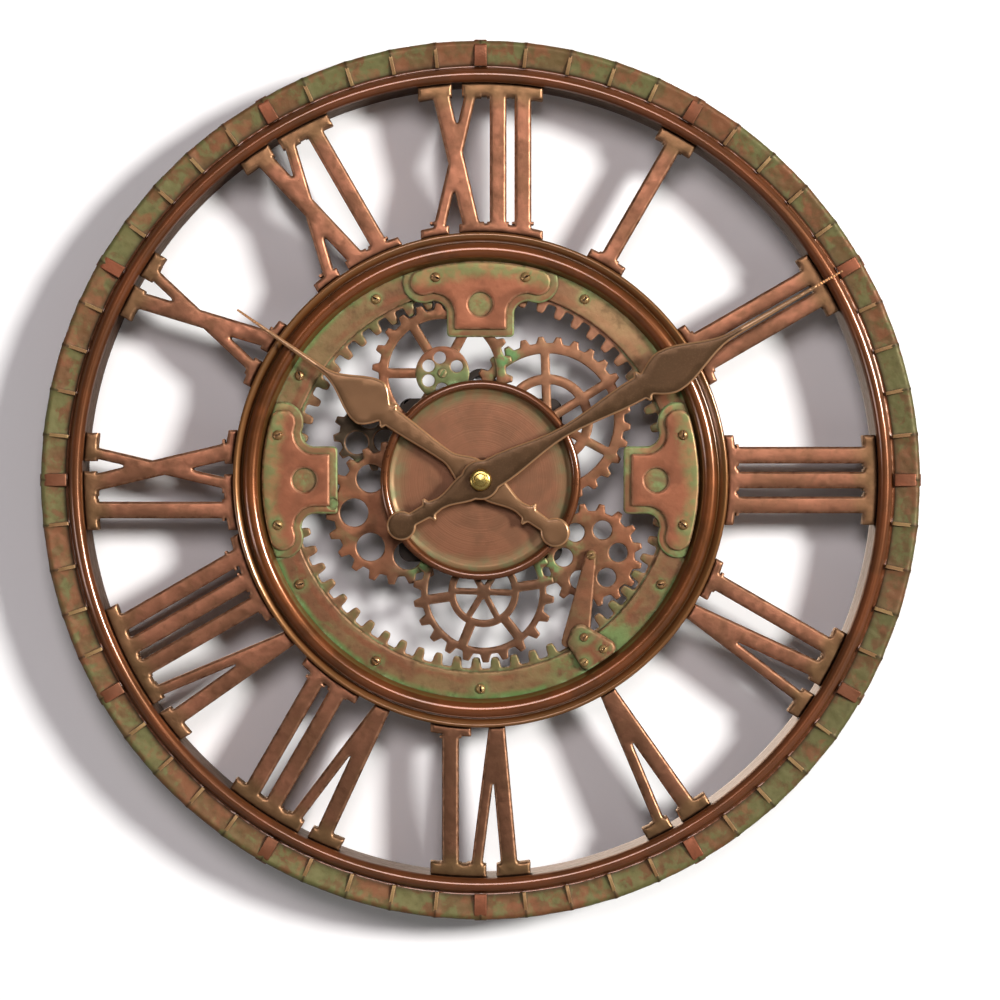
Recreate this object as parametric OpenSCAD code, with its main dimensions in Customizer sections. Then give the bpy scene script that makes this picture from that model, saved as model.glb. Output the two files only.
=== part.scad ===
// Skeleton wall clock: an open cast dial with fixed ornamental wheelwork, two sheet
// metal hands and a battery quartz movement behind the centre cup.
// Each module is drawn flat: x to the right, y up, z out of the wall towards the viewer.
// place() then stands it up: the dial faces -Y, +Z is up, and the origin is the hanging hole.

/* [Rim] */
// Outside diameter of the clock
clock_d = 300; // [280:1:320]
// Depth of the rim, from the wall to the tiled band
rim_h = 23; // [22:0.5:24]
// Radial width of the tiled band
tile_band = 9.5; // [8:0.5:11]
// Radial width of the half-round bead inside the band
bead_w = 4.8; // [4:0.1:5]
// Number of minutes round the band, with a raised ridge at each
minutes = 60; // [60]

/* [Numerals] */
// Width of a thick stroke
stroke_thick = 5.7; // [5:0.1:6.2]
// Width of a thin stroke
stroke_thin = 3.8; // [3:0.1:4.2]
// Distance between the centres of two neighbouring strokes
stroke_pitch = 8.5; // [8:0.1:9]
// Distance between the two open ends of an X or a V
letter_w = 12; // [11:0.5:13]
// Radial thickness of the serifs
serif_h = 3.2; // [2.5:0.1:4]
// Thickness of the numerals
numeral_h = 7; // [5:0.5:8]

/* [Inner ring] */
// Outside diameter of the moulded bezel around the wheelwork
bezel_d = 169; // [168:0.5:170]
// Teeth inside the ring plate
ring_teeth = 60; // [60]
// Module shared by the ring and the wheels in mesh with it
gear_module = 2.07; // [2.05:0.01:2.09]
// Thickness of one layer of wheelwork
layer_h = 1.6; // [1.4:0.1:1.7]

/* [Centre] */
// Outside diameter of the cup
cup_d = 68.2; // [66:0.2:70]
// Width of the cup's rolled lip
cup_lip = 2.8; // [2:0.1:3.5]

/* [Hands] */
// Minute hand, from the shaft to the tip
minute_len = 142; // [130:1:143]
// Hour hand, from the shaft to the tip
hour_len = 101; // [90:1:110]
// Thickness of the sheet of both hands
hand_t = 0.7; // [0.5:0.1:0.8]
// Time shown at rest: hours
rest_hour = 10; // [10]
// Time shown at rest: minutes
rest_minute = 10; // [10]

/* [Movement] */
// Width and height of the movement's case
case_w = 56; // [56]
// Distance from the hands' shaft to the hanging hole
hang_y = 33; // [33]

/* [Hidden] */
$fn = 96;

copper = "#9a5f42";
olive = "#7c7148";
verdigris = "#6f9460";
bronze = "#74603f";
brass = "#b9a64a";
steel = "silver";
black = "#1c1c1e";

e = 0.01;
clear = 0.05;

// Radii of the rings, from the outside in
rim_r = clock_d / 2;
bead_out = rim_r - tile_band;
rim_in = bead_out - bead_w;
bezel_r = bezel_d / 2;
plate_r = 74.7;
plate_edge_r = 66.2;
ring_pitch_r = gear_module * ring_teeth / 2;
ring_root_r = 64.5;
ring_tip_r = 60.7;

// Heights above the wall
numeral_z = 15;
numeral_top = numeral_z + numeral_h;
layer_0 = 16.4;
layer_1 = layer_0 + layer_h;
layer_2 = layer_1 + layer_h;
plate_z = 18;
plate_top = layer_2 + layer_h;
bracket_z = plate_top;
bracket_base_h = 1;
bracket_top_h = 1.3;
bezel_top = 26;
floor_z = plate_top + 0.4;
floor_t = 1.2;
floor_top = floor_z + floor_t;
cup_top = 25.6;

// Centres of the fixed wheels, from the hands' shaft
low_right_xy = [37.75, -25.6];
bottom_xy = [1.1, -38.2];
up_right_xy = [22.85, 20.5];
up_left_xy = [-13, 36.5];
left_xy = [-28.2, -11.15];
small_xy = [-37.7, 15.9];
shaft_notch_r = 7.5;

// Pose at rest, clockwise from twelve
minute_angle = rest_minute * 6;
hour_angle = rest_hour * 30 + rest_minute / 2;

module place() translate([0, 0, -hang_y]) rotate([90, 0, 0]) children();
module clockwise(a) rotate([0, 0, -a]) children();
module at(p, z = 0) translate([p.x, p.y, z]) children();
module washer(r_out, r_in, z, h) translate([0, 0, z]) difference() {
    cylinder(r = r_out, h = h);
    translate([0, 0, -1]) cylinder(r = r_in, h = h + 2);
}
module disc(r, z, h) translate([0, 0, z]) cylinder(r = r, h = h);
module plate(z, h) translate([0, 0, z]) linear_extrude(h) children();

function heading(p) = atan2(p.y, p.x);
function polar(r, a) = [r * cos(a), r * sin(a)];

// ---------- Rim ----------

module rim_section() polygon(concat(
    [[rim_in, 0], [rim_r - 0.6, 0], [rim_r, 0.6], [rim_r, rim_h - 2.4],
     [rim_r - 0.5, rim_h - 1], [rim_r - 1.6, rim_h - 0.5], [bead_out + 1.2, rim_h],
     [bead_out + 0.1, rim_h - 0.8]],
    [for (a = [0 : 15 : 180]) let (r = bead_w / 2)
        [rim_in + r + r * cos(a), rim_h - 0.6 + 2.9 * sin(a)]]));

module outer_rim() color(olive) rotate_extrude($fn = 180) rim_section();

// Radial bar that follows the top and the outer edge of the rim, standing proud by up
module rim_bar(w, up, reach) rotate([90, 0, 0]) linear_extrude(w, center = true) polygon([
    [bead_out + 0.7, rim_h - 1.5], [rim_r - 3, rim_h - 2.5], [rim_r - 1, rim_h - 5],
    [reach, rim_h - 5], [reach, rim_h - 2.2 + up], [rim_r - 1.5, rim_h - 0.5 + up],
    [bead_out + 1.3, rim_h + up], [bead_out + 0.7, rim_h - 0.3 + up]]);

module minute_ridges() color(copper) for (m = [0 : minutes - 1]) if (m % 5 != 0)
    clockwise(m * 360 / minutes) rotate(90) rim_bar(1.3, 0.6, rim_r + 0.3);

module hour_blocks() color(copper) for (h = [0 : 11])
    clockwise(h * 30) rotate(90) rim_bar(4.4, 0.8, rim_r + 0.4);

// ---------- Numerals ----------

numeral_text = ["I", "II", "III", "IV", "V", "VI", "VII", "VIII", "IX", "X", "XI", "XII"];
serif_out = 4;
serif_in = 1.9;
apex_shift = -1;
join = stroke_pitch / 2;

function letter_span(c) = c == "I" ? 0 : letter_w;
function offset_of(s, k) = k == 0 ? 0 : offset_of(s, k - 1) + letter_span(s[k - 1]) + stroke_pitch;
function text_span(s) = offset_of(s, len(s) - 1) + letter_span(s[len(s) - 1]);

module stroke(x_low, x_high, w, r_low, r_high) {
    lean = atan2(x_high - x_low, r_high - r_low);
    half = w / cos(lean) / 2;
    polygon([[x_low - half, r_low], [x_low + half, r_low],
        [x_high + half, r_high], [x_high - half, r_high]]);
}

// One serif: a slab along the ring from x - left to x + right, and a small step beside the stroke
module serif(x, w, left, right, r0, r1, step_r) {
    intersection() {
        difference() {
            circle(r = r1, $fn = 180);
            circle(r = r0, $fn = 180);
        }
        translate([x - w / 2 - left, 0]) square([w + left + right, r1]);
    }
    translate([x - w / 2 - 0.9, step_r - 0.5]) square([w + 1.8, 1]);
}

module numeral_flat(s) {
    r_low = bezel_r;
    r_high = rim_in;
    gap = stroke_pitch;
    first = -text_span(s) / 2;
    intersection() {
        difference() {
            circle(r = r_high, $fn = 180);
            circle(r = r_low, $fn = 180);
        }
        union() for (k = [0 : len(s) - 1]) {
            c = s[k];
            x = first + offset_of(s, k);
            far = x + letter_w;
            left = k == 0 ? serif_out : join;
            right = k == len(s) - 1 ? serif_out : join;
            low = r_low - 6;
            high = r_high + 1;
            serif_top = r_high - serif_h - 1.2;
            serif_low = r_low + serif_h;
            if (c == "I") {
                stroke(x, x, stroke_thick, low, high);
                serif(x, stroke_thick, left, right, serif_top, high, serif_top);
                serif(x, stroke_thick, left, right, low, serif_low, serif_low);
            }
            if (c == "X") {
                stroke(far, x, stroke_thick, r_low, r_high);
                stroke(x, far, stroke_thin, r_low, r_high);
                serif(x, stroke_thick, left, serif_in, serif_top, high, serif_top);
                serif(far, stroke_thin, serif_in, right, serif_top, high, serif_top);
                serif(x, stroke_thin, left, serif_in, low, serif_low, serif_low);
                serif(far, stroke_thick, serif_in, right, low, serif_low, serif_low);
            }
            if (c == "V") {
                apex = x + letter_w / 2 + apex_shift;
                stroke(apex, x, stroke_thick, r_low - 4, r_high);
                stroke(apex, far, stroke_thin, r_low - 4, r_high);
                serif(x, stroke_thick, left, serif_in, serif_top, high, serif_top);
                serif(far, stroke_thin, serif_in, right, serif_top, high, serif_top);
            }
        }
    }
}

module numeral(hour) color(copper) clockwise(hour * 30)
    plate(numeral_z, numeral_h) numeral_flat(numeral_text[hour - 1]);

// ---------- Inner ring ----------

module bezel() color(copper) rotate_extrude($fn = 180) polygon(concat(
    [[plate_r, 8], [bezel_r - 1.5, 8], [bezel_r, 9.5], [bezel_r, bezel_top - 3.2],
     [bezel_r - 0.4, bezel_top - 2.2], [bezel_r - 1.6, bezel_top - 2], [bezel_r - 2.6, bezel_top - 3],
     [bezel_r - 3.8, bezel_top - 3]],
    [for (a = [10 : 20 : 170]) [bezel_r - 6 + 2 * cos(a), bezel_top - 2.6 + 2.6 * sin(a)]],
    [[bezel_r - 8.2, bezel_top - 2.8], [plate_r, plate_top + 0.6]]));

// Outline of a toothed wheel: flat-topped teeth, narrower at the tip than at the root
module teeth_2d(n, r_root, r_tip, phase, root_w = 0.62, tip_w = 0.3) {
    pitch = 360 / n;
    polygon([for (k = [0 : n - 1], s = [0 : 3]) let (
        half = (s == 0 || s == 3 ? root_w : tip_w) * pitch / 2,
        r = s == 0 || s == 3 ? r_root : r_tip,
        a = phase + k * pitch + (s < 2 ? -half : half)) polar(r, a)]);
}

// The ring's teeth stand in its bore: wide at the root, with blunt round ends
ring_phase = heading(bottom_xy) + 180 / ring_teeth;
ring_tooth_h = plate_top - 0.9 - plate_z - 0.6;

module ring_gear() color(olive) {
    difference() {
        washer(plate_r, ring_root_r, plate_z, plate_top - plate_z);
        washer(plate_edge_r - 0.5, ring_root_r - 1, plate_top - 0.9, 2);
    }
    for (k = [0 : ring_teeth - 1]) rotate(ring_phase + k * 360 / ring_teeth)
        plate(plate_z + 0.6, ring_tooth_h) polygon([[ring_tip_r, -0.7], [ring_tip_r + 0.35, -1.2],
            [ring_tip_r + 1.5, -1.55], [ring_root_r - 0.6, -1.75], [ring_root_r + 0.4, -2.1],
            [ring_root_r + 0.4, 2.1], [ring_root_r - 0.6, 1.75], [ring_tip_r + 1.5, 1.55],
            [ring_tip_r + 0.35, 1.2], [ring_tip_r, 0.7]]);
}

// ---------- Brackets ----------

wing_r = 4.4;
wing_a = 16.2;
wing_reach = 70.2;
hole_r = 4.1;
hole_at = 60;

// Wings along the ring and a foot that reaches in over the wheels, grown outwards by g
module bracket_flat(g, outer) {
    foot = 8.9 + g;
    fillet = 7 - g;
    inner = 51.4 - g;
    shoulder = 64 - g;
    intersection() {
        circle(r = outer, $fn = 180);
        difference() {
            union() {
                translate([-foot, inner]) square([2 * foot, shoulder + 4 - inner]);
                intersection() {
                    difference() {
                        circle(r = wing_reach + wing_r + g, $fn = 180);
                        circle(r = wing_reach - wing_r - g, $fn = 180);
                    }
                    polygon([[0, 0], 100 * [-sin(wing_a), cos(wing_a)], 100 * [sin(wing_a), cos(wing_a)]]);
                }
                for (s = [-1, 1]) rotate(s * wing_a) translate([0, wing_reach])
                    circle(r = wing_r + g, $fn = 48);
                translate([-foot - fillet, shoulder - fillet]) square([2 * (foot + fillet), fillet + 3]);
            }
            for (s = [-1, 1]) translate([s * (foot + fillet), shoulder - fillet - 0.4])
                circle(r = fillet, $fn = 48);
        }
    }
}

module bracket(turn) clockwise(turn) {
    color(verdigris) plate(bracket_z, bracket_base_h) bracket_flat(2.6, plate_r - 0.02);
    color(copper) difference() {
        plate(bracket_z + bracket_base_h, bracket_top_h) bracket_flat(0, plate_r - 0.02);
        translate([0, hole_at, bracket_z + bracket_base_h]) cylinder(r = hole_r, h = 9);
    }
}

module bracket_top() bracket(0);
module bracket_right() bracket(90);
// The left bracket stands on the left wheel with a short post
module bracket_left() {
    bracket(270);
    color(olive) translate([-50.4, -8, layer_1 + layer_h])
        cylinder(r = 1.8, h = bracket_z - layer_1 - layer_h + e);
}

// Round slotted screw head
module screw(r, h) difference() {
    rotate_extrude($fn = 32) polygon(concat([[0, 0]],
        [for (a = [0 : 15 : 90]) [r * cos(a), h * sin(a)]]));
    translate([-r, -0.25, h * 0.55]) cube([2 * r, 0.5, h]);
}
screw_r = 1.7;
screw_h = 1.3;

module bracket_screws() color(brass) for (t = [0, 90, 270], s = [-1, 1])
    clockwise(t + s * 12.5) translate([0, 70.8, bracket_z + bracket_base_h + bracket_top_h])
        rotate(40 * s + t / 3) screw(screw_r, screw_h);

module ring_screws() color(brass) for (h = [1, 2, 4, 6, 7, 8, 10, 11])
    clockwise(h * 30) translate([0, 71.3, plate_top]) rotate(h * 77) screw(screw_r, screw_h);

// ---------- Click at five o'clock ----------

pawl_z = plate_top;
pawl_t = 2.6;
lever_t = 1.3;
pawl_screw_at = [[35.3, -53.6], [41.9, -57.6], [35.4, -62.1]];

// The lever's end runs in a slot under the shield
module lever_flat(g) hull() {
    translate(low_right_xy) circle(r = 1.9 + g, $fn = 32);
    translate([29.5, -55.2]) circle(r = 1.9 + g, $fn = 32);
    translate([35.9, -52.6]) circle(r = 1.4 + g, $fn = 32);
}

module pawl_plate() color(copper) difference() {
    plate(pawl_z, pawl_t) intersection() {
        circle(r = plate_r - 0.2, $fn = 180);
        hull() {
            translate([34.2, -52.6]) circle(r = 3.4, $fn = 32);
            translate([32.1, -55.4]) circle(r = 2.4, $fn = 32);
            translate([43.1, -57.3]) circle(r = 3, $fn = 32);
            translate([36.9, -61.6]) circle(r = 3.2, $fn = 32);
        }
    }
    plate(pawl_z - 1, lever_t + 1) lever_flat(clear);
}

module pawl_lever() color(copper) {
    plate(pawl_z, lever_t) lever_flat(0);
    at(low_right_xy, layer_1 + layer_h) cylinder(r = 1.7, h = pawl_z - layer_1 - layer_h + e);
}

module pawl_screws() color(brass) {
    for (p = pawl_screw_at) at(p, pawl_z + pawl_t) rotate(50) screw(1.5, 1);
    at(low_right_xy, pawl_z + lever_t) rotate(20) screw(1.6, 1.1);
}

// ---------- Fixed wheelwork ----------

module spokes(n, from, to, w, phase) for (k = [0 : n - 1])
    rotate(phase + k * 360 / n) translate([from, -w / 2]) square([to - from, w]);

module ring_2d(r_out, r_in) difference() {
    circle(r = r_out);
    circle(r = r_in);
}

module wheel_lower_right() color(copper) at(low_right_xy, layer_1) linear_extrude(layer_h)
    difference() {
        teeth_2d(16, 15.1, 17.7, heading(low_right_xy) - 0.8, 0.58, 0.28);
        for (k = [0 : 5]) rotate(5 + 60 * k) translate([9.4, 0]) circle(r = 3.2, $fn = 48);
    }

module wheel_bottom() color(copper) at(bottom_xy, layer_2) linear_extrude(layer_h) {
    difference() {
        teeth_2d(22, 21.4, 24.2, heading(bottom_xy));
        circle(r = 19.1);
    }
    ring_2d(12.1, 9.6);
    circle(r = 2.6);
    spokes(6, 11, 20, 3.4, 8);
    spokes(6, 1, 10.5, 2.2, -2);
}

module wheel_upper_right() color(copper) difference() {
    at(up_right_xy, layer_1) linear_extrude(layer_h) {
        difference() {
            teeth_2d(29, 26.4, 28.6, heading(up_right_xy) + 3);
            circle(r = 22.8);
        }
        ring_2d(15.7, 12.3);
        circle(r = 3.4);
        spokes(6, 3, 23.4, 3.1, 92);
    }
    disc(shaft_notch_r, 0, 40);
}

module wheel_upper_left() color(copper) at(up_left_xy, layer_2) linear_extrude(layer_h) {
    difference() {
        teeth_2d(22, 21.8, 24.1, heading(up_left_xy), 0.56, 0.28);
        circle(r = 18.5);
    }
    for (a = [180, 122, 62, -62, -122]) rotate(a) translate([8, -1.7]) square([11.5, 3.4]);
    ring_2d(9, 7.8);
}

module wheel_left() color(copper) difference() {
    at(left_xy, layer_1) linear_extrude(layer_h) difference() {
        teeth_2d(22, 21.9, 24.7, 3);
        for (k = [0 : 6]) rotate(180 + k * 360 / 7) translate([15, 0]) circle(r = 4.8, $fn = 48);
    }
    disc(shaft_notch_r, 0, 40);
}

module wheel_small() color(bronze) at(small_xy, layer_0) linear_extrude(layer_h) difference() {
    teeth_2d(12, 10.6, 12.8, 157, 0.62, 0.34);
    for (a = [214, 94, -26]) rotate(a) translate([5.6, 0]) circle(r = 3.9, $fn = 48);
}

// Small pierced disc over the middle of the upper left wheel, with its own screw
disc_hole_at = [26, 100, 152, 208, 268];
disc_up = 0.35;

module pinion_disc() color(verdigris) at(up_left_xy) {
    difference() {
        union() {
            disc(7.8 - clear, layer_2, layer_h + disc_up);
            disc(9.2, layer_2 + layer_h, disc_up);
        }
        for (a = disc_hole_at) rotate(a) translate([5.4, 0, 0]) cylinder(r = 2.1, h = 40, $fn = 32);
    }
    translate([0, 0, layer_2 + layer_h + disc_up - e]) rotate(60) screw(1.6, 0.9);
}

// ---------- Centre ----------

cup_r = cup_d / 2;
bush_r = 4;
spacer_r = 7;
// Short posts under the cup that stand on the wheels behind it
cup_posts = [[12.4, 11.1, layer_1], [18.6, -3.7, layer_1], [-13.2, -11.15, layer_1],
    [6.3, -25.2, layer_2], [-6.2, 17.3, layer_2]];

module centre_cup() color(copper) {
    rotate_extrude($fn = 180) polygon(concat(
        [[bush_r + clear, floor_z], [cup_r - 1.2, floor_z], [cup_r, floor_z + 1.2],
         [cup_r, cup_top - 1.2]],
        [for (a = [15 : 15 : 165]) [cup_r - cup_lip / 2 + cup_lip / 2 * cos(a),
            cup_top - 1.2 + 1.2 * sin(a)]],
        [[cup_r - cup_lip, cup_top - 1.4], [cup_r - cup_lip - 0.8, floor_top + 0.5],
         [cup_r - cup_lip - 2, floor_top + 0.15], [24, floor_top + 0.15], [23.7, floor_top],
         [9, floor_top], [bush_r + clear, floor_top]]));
    for (p = cup_posts) translate([p.x, p.y, p.z + layer_h])
        cylinder(r = 1.6, h = floor_z - p.z - layer_h + e, $fn = 32);
}

module centre_spacer() color(black) washer(spacer_r, bush_r + clear, layer_0, floor_z - layer_0);
module fixing_washer() color(brass) washer(7, bush_r + clear, floor_top, 0.4);
module fixing_nut() color(brass) difference() {
    translate([0, 0, floor_top + 0.4]) cylinder(r = 12 / sqrt(3), h = 2, $fn = 6);
    disc(bush_r + clear, 0, 40);
}

// ---------- Hands ----------

hour_z = 27;
minute_z = 29.4;
pipe_r = 2.5;
arbor_r = 1.6;
hub_r = 6.8;
tail_collar = 20.5;
tail_at = 31;
tail_r = 5;

function flip(pts) = [for (i = [len(pts) - 1 : -1 : 0]) [-pts[i].x, pts[i].y]];

// Leaf of a hand: a short tail, a waisted stem, a collar with two small cusps, a pear bulge and
// a needle. A smooth step runs from 0 to 1 between the two ends of a stretch.
function ease(t) = t * t * (3 - 2 * t);
function blend_w(a, b, y0, y1, y) = a + (b - a) * ease((y - y0) / (y1 - y0));

// stem = [half width at the hub, at the waist, below the collar], ys = [waist, collar, widest, neck, tip]
module hand_outline(stem, ys, bulge, neck) {
    half = concat(
        [[2.3, -tail_at + 2], [2.6, -tail_collar - 0.8], [4.3, -tail_collar], [4.2, -tail_collar + 0.9],
         [2.6, -tail_collar + 1.6]],
        [for (i = [5 : -1 : 0]) let (y = 4 + 12 * i / 5) [blend_w(5, 2.1, 4, 16, y), -y]],
        [for (i = [0 : 6]) let (y = 4 + (ys[0] - 4) * i / 6) [blend_w(stem[0], stem[1], 4, ys[0], y), y]],
        [for (i = [1 : 6]) let (y = ys[0] + (ys[1] - ys[0]) * i / 6)
            [blend_w(stem[1], stem[2], ys[0], ys[1], y), y]],
        [[stem[2] + 1.5, ys[1] + 0.7], [stem[2] + 1.3, ys[1] + 1.7], [stem[2] - 0.2, ys[1] + 2.6]],
        [for (i = [1 : 6]) let (y = ys[1] + 2.6 + (ys[2] - ys[1] - 2.6) * i / 6)
            [stem[2] - 0.2 + (bulge - stem[2] + 0.2) * sin(i * 15), y]],
        [for (i = [1 : 9]) let (y = ys[2] + (ys[3] - ys[2]) * i / 9)
            [neck + (bulge - neck) * pow(1 - ease(i / 9), 1.15), y]],
        [[0.35, ys[4]]]);
    polygon(concat(half, flip(half)));
}

module hand(z, bore, stem, ys, bulge, neck) difference() {
    union() {
        plate(z, hand_t) hand_outline(stem, ys, bulge, neck);
        disc(hub_r, z, hand_t);
        at([0, -tail_at], z) cylinder(r = tail_r, h = hand_t, $fn = 48);
    }
    disc(bore, z - 1, 3);
}

module hour_hand() color(bronze) clockwise(hour_angle)
    hand(hour_z, pipe_r + 0.02, [5.6, 2.3, 3.4], [14, 37, 46, 66, hour_len], 8.5, 1.1);

module minute_hand() color(bronze) clockwise(minute_angle)
    hand(minute_z, arbor_r + 0.02, [5.4, 1.9, 4.2], [33, 62.5, 74, 100, minute_len], 7.7, 1.1);

module hand_nut() color(brass) rotate_extrude($fn = 48) polygon(concat(
    [[arbor_r + 0.02, minute_z + hand_t], [3.7, minute_z + hand_t], [3.7, minute_z + hand_t + 1.4]],
    [for (a = [15 : 15 : 75]) [2.5 + 1.2 * cos(a), minute_z + hand_t + 1.4 + 1.2 * sin(a)]],
    [[2.2, minute_z + hand_t + 2.6], [2.0, minute_z + hand_t + 3.2], [0, minute_z + hand_t + 3.5],
     [0, minute_z + hand_t + 2.4], [arbor_r + 0.02, minute_z + hand_t + 2.4]]));

// ---------- Movement ----------

case_top = 16.3;
case_split = 9;
case_back = 0.5;
wall = 1.4;
half_w = case_w / 2;
inner_w = case_w - 2 * wall;
bay_y = -18.9;
cell_r = 7.2;
cell_z = 8;
cell_len = 50.2;

// Axes of the going train, as distances and directions from the hands' shaft
third_xy = polar(9.18, 20);
inter_xy = polar(9.72, 150);
rotor_xy = inter_xy + polar(8.75, 120);
setting_xy = [0, 9.6];
pivot_r = 0.5;
setting_r = 0.9;

// Heights of the wheels inside the case, from the back forwards
rotor_mesh = 4.6;
inter_mesh = 6.2;
seconds_mesh = 7.6;
third_mesh = 9;
cannon_mesh = 10.7;
motion_mesh = 12.6;
wheel_t = 0.8;

module rounded_square(w, r) {
    square([w - 2 * r, w], center = true);
    square([w, w - 2 * r], center = true);
    for (x = [-1, 1], y = [-1, 1]) translate([x * (w / 2 - r), y * (w / 2 - r)]) circle(r = r, $fn = 32);
}

module case_front() color(black) difference() {
    plate(case_split, case_top - case_split) rounded_square(case_w, 4);
    translate([-inner_w / 2, -10.2, case_split - 1]) cube([inner_w, inner_w / 2 + 10.2, 7.1]);
    translate([-inner_w / 2, -inner_w / 2, case_split - 1]) cube([inner_w, inner_w / 2 - 11.4, 7.55]);
    disc(bush_r, 0, 40);
    for (p = [third_xy, inter_xy, rotor_xy, setting_xy]) at(p, 14) cylinder(r = pivot_r + clear, h = 1.6);
}

module case_rear() color(black) difference() {
    union() {
        difference() {
            plate(case_back, case_split - case_back) rounded_square(case_w, 4);
            translate([-inner_w / 2, -10.2, case_back + 1.3]) cube([inner_w, inner_w / 2 + 10.2, 40]);
            translate([-inner_w / 2, -inner_w / 2, case_back - 1]) cube([inner_w, inner_w / 2 - 11.4, 40]);
        }
        at(setting_xy, case_back) cylinder(r = 6.2, h = 3.5);
        plate(0, 3) hull() {
            translate([0, hang_y]) circle(r = 5.6, $fn = 32);
            translate([-9, half_w - 0.6]) square([18, 0.1]);
        }
        translate([-8, half_w - 1, case_back]) cube([16, 1, 3]);
    }
    at(setting_xy, case_back - 1) cylinder(r = 5.2, h = 3.9);
    at(setting_xy, 0) cylinder(r = setting_r + clear, h = 9);
    translate([0, hang_y, -1]) cylinder(r = 3, h = 9);
    for (p = [[0, 0], third_xy, inter_xy, rotor_xy]) at(p, 1) cylinder(r = pivot_r + clear, h = 3);
}

module threaded_bush() color(brass) washer(bush_r - 0.02, pipe_r + clear, 15.1, 11.3);

// A toothed wheel on an arbor. Fine teeth leave backlash at the pitch circle.
module gear(n, m, z, h, phase) translate([0, 0, z]) linear_extrude(h)
    teeth_2d(n, m * (n / 2 - 1.1), m * (n / 2 + 0.8), phase, 0.5, 0.22);
module arbor(z0, z1) disc(pivot_r, z0, z1 - z0);
function tooth_to(xy, from = [0, 0]) = heading(xy - from);
function gap_to(xy, n, from = [0, 0]) = heading(xy - from) + 180 / n;

module rotor() color(steel) at(rotor_xy) {
    arbor(1.5, 15.4);
    disc(2.2, 8.2, 1.8);
    gear(10, 0.25, rotor_mesh, wheel_t, tooth_to(inter_xy, rotor_xy));
}

module intermediate_wheel() color("white") at(inter_xy) {
    arbor(1.5, 15.4);
    gear(60, 0.25, rotor_mesh, wheel_t, gap_to(rotor_xy, 60, inter_xy));
    gear(12, 0.27, rotor_mesh + wheel_t - e, inter_mesh + wheel_t - rotor_mesh - wheel_t + e,
        tooth_to([0, 0], inter_xy));
}

module seconds_wheel() color("white") {
    arbor(1.5, 13);
    gear(60, 0.27, inter_mesh, wheel_t, gap_to(inter_xy, 60));
    gear(8, 0.27, inter_mesh + wheel_t - e, seconds_mesh + wheel_t - inter_mesh - wheel_t + e,
        tooth_to(third_xy));
}

module third_wheel() color("white") at(third_xy) {
    arbor(1.5, 15.4);
    gear(60, 0.27, seconds_mesh, wheel_t, gap_to([0, 0], 60, third_xy));
    gear(8, 0.255, seconds_mesh + wheel_t - e, third_mesh + wheel_t - seconds_mesh - wheel_t + e,
        tooth_to([0, 0], third_xy));
}

cannon_r = 1;
module centre_wheel() color("white") difference() {
    gear(64, 0.255, third_mesh, wheel_t, gap_to(third_xy, 64));
    disc(cannon_r + clear, 0, 40);
}

module minute_arbor() color(steel) difference() {
    union() {
        disc(cannon_r, third_mesh - 0.3, 2);
        gear(16, 0.3, cannon_mesh, 1, tooth_to(setting_xy));
        disc(arbor_r, cannon_mesh + 1 - e, minute_z + hand_t + 2 - cannon_mesh - 1);
    }
    disc(pivot_r + 0.1, 0, 13.4);
}

module clutch_spring() color(brass) washer(2.6, cannon_r + clear, third_mesh + wheel_t + 0.1, 0.7);

module setting_wheel() color("white") at(setting_xy) {
    disc(setting_r, 1.6, cannon_mesh - 1.6 + e);
    arbor(10, 15.4);
    gear(48, 0.3, cannon_mesh, 1, gap_to([0, 0], 48, setting_xy));
    gear(12, 0.32, cannon_mesh + 1 - e, motion_mesh - cannon_mesh + e, tooth_to([0, 0], setting_xy));
    difference() {
        disc(4.6, case_back + 0.1, 2.4);
        for (k = [0 : 17]) rotate(k * 20) translate([4.7, 0, 0]) cylinder(r = 0.45, h = 9, $fn = 24);
        translate([-3.4, -0.6, 0]) cube([6.8, 1.2, case_back + 1]);
    }
}

module hour_wheel() color("white") difference() {
    union() {
        gear(48, 0.32, motion_mesh, 1, gap_to(setting_xy, 48));
        disc(pipe_r, motion_mesh + 1 - e, hour_z + hand_t + 0.6 - motion_mesh - 1);
    }
    disc(arbor_r + clear, 0, 60);
}

// Soft iron loop: a core through the coil and two poles around the rotor
core_x = -21.5;
core_top = 21.5;
core_low = -7;
stator_z = 8.7;

module stator() color(steel) plate(stator_z, 0.8) difference() {
    union() {
        translate(rotor_xy) circle(r = 4.8, $fn = 48);
        translate([core_x - 2, core_low]) square([4, core_top - core_low]);
        translate([core_x, core_top - 4]) square([rotor_xy.x - core_x + 2, 4]);
        translate([rotor_xy.x - 1, rotor_xy.y]) square([3, core_top - rotor_xy.y]);
        translate([core_x, core_low]) square([5.2, 3]);
        translate([core_x + 3.4, core_low]) square([1.8, rotor_xy.y - core_low]);
    }
    translate(rotor_xy) circle(r = 2.6, $fn = 48);
}

module coil() color("#a5502c") translate([core_x, 0, stator_z + 0.4]) rotate([-90, 0, 0]) difference() {
    union() {
        translate([0, 0, -3]) cylinder(r = 3.4, h = 0.8);
        translate([0, 0, -2.3]) cylinder(r = 2.9, h = 18.6);
        translate([0, 0, 16.2]) cylinder(r = 3.4, h = 0.8);
    }
    translate([-2.05, -0.45, -4]) cube([4.1, 0.9, 30]);
}

module circuit_board() color("#2f5d3a") translate([9, 14, 3.6]) cube([16.5, 11, 0.8]);
module quartz_crystal() color(steel) translate([12, 22.5, 5.4 + e]) rotate([0, 90, 0])
    cylinder(r = 1, h = 6);
module chip_cover() color(black) translate([15, 17.5, 4.4]) intersection() {
    cylinder(r = 2.6, h = 1);
    translate([0, 0, -3]) sphere(r = 4);
}

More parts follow.
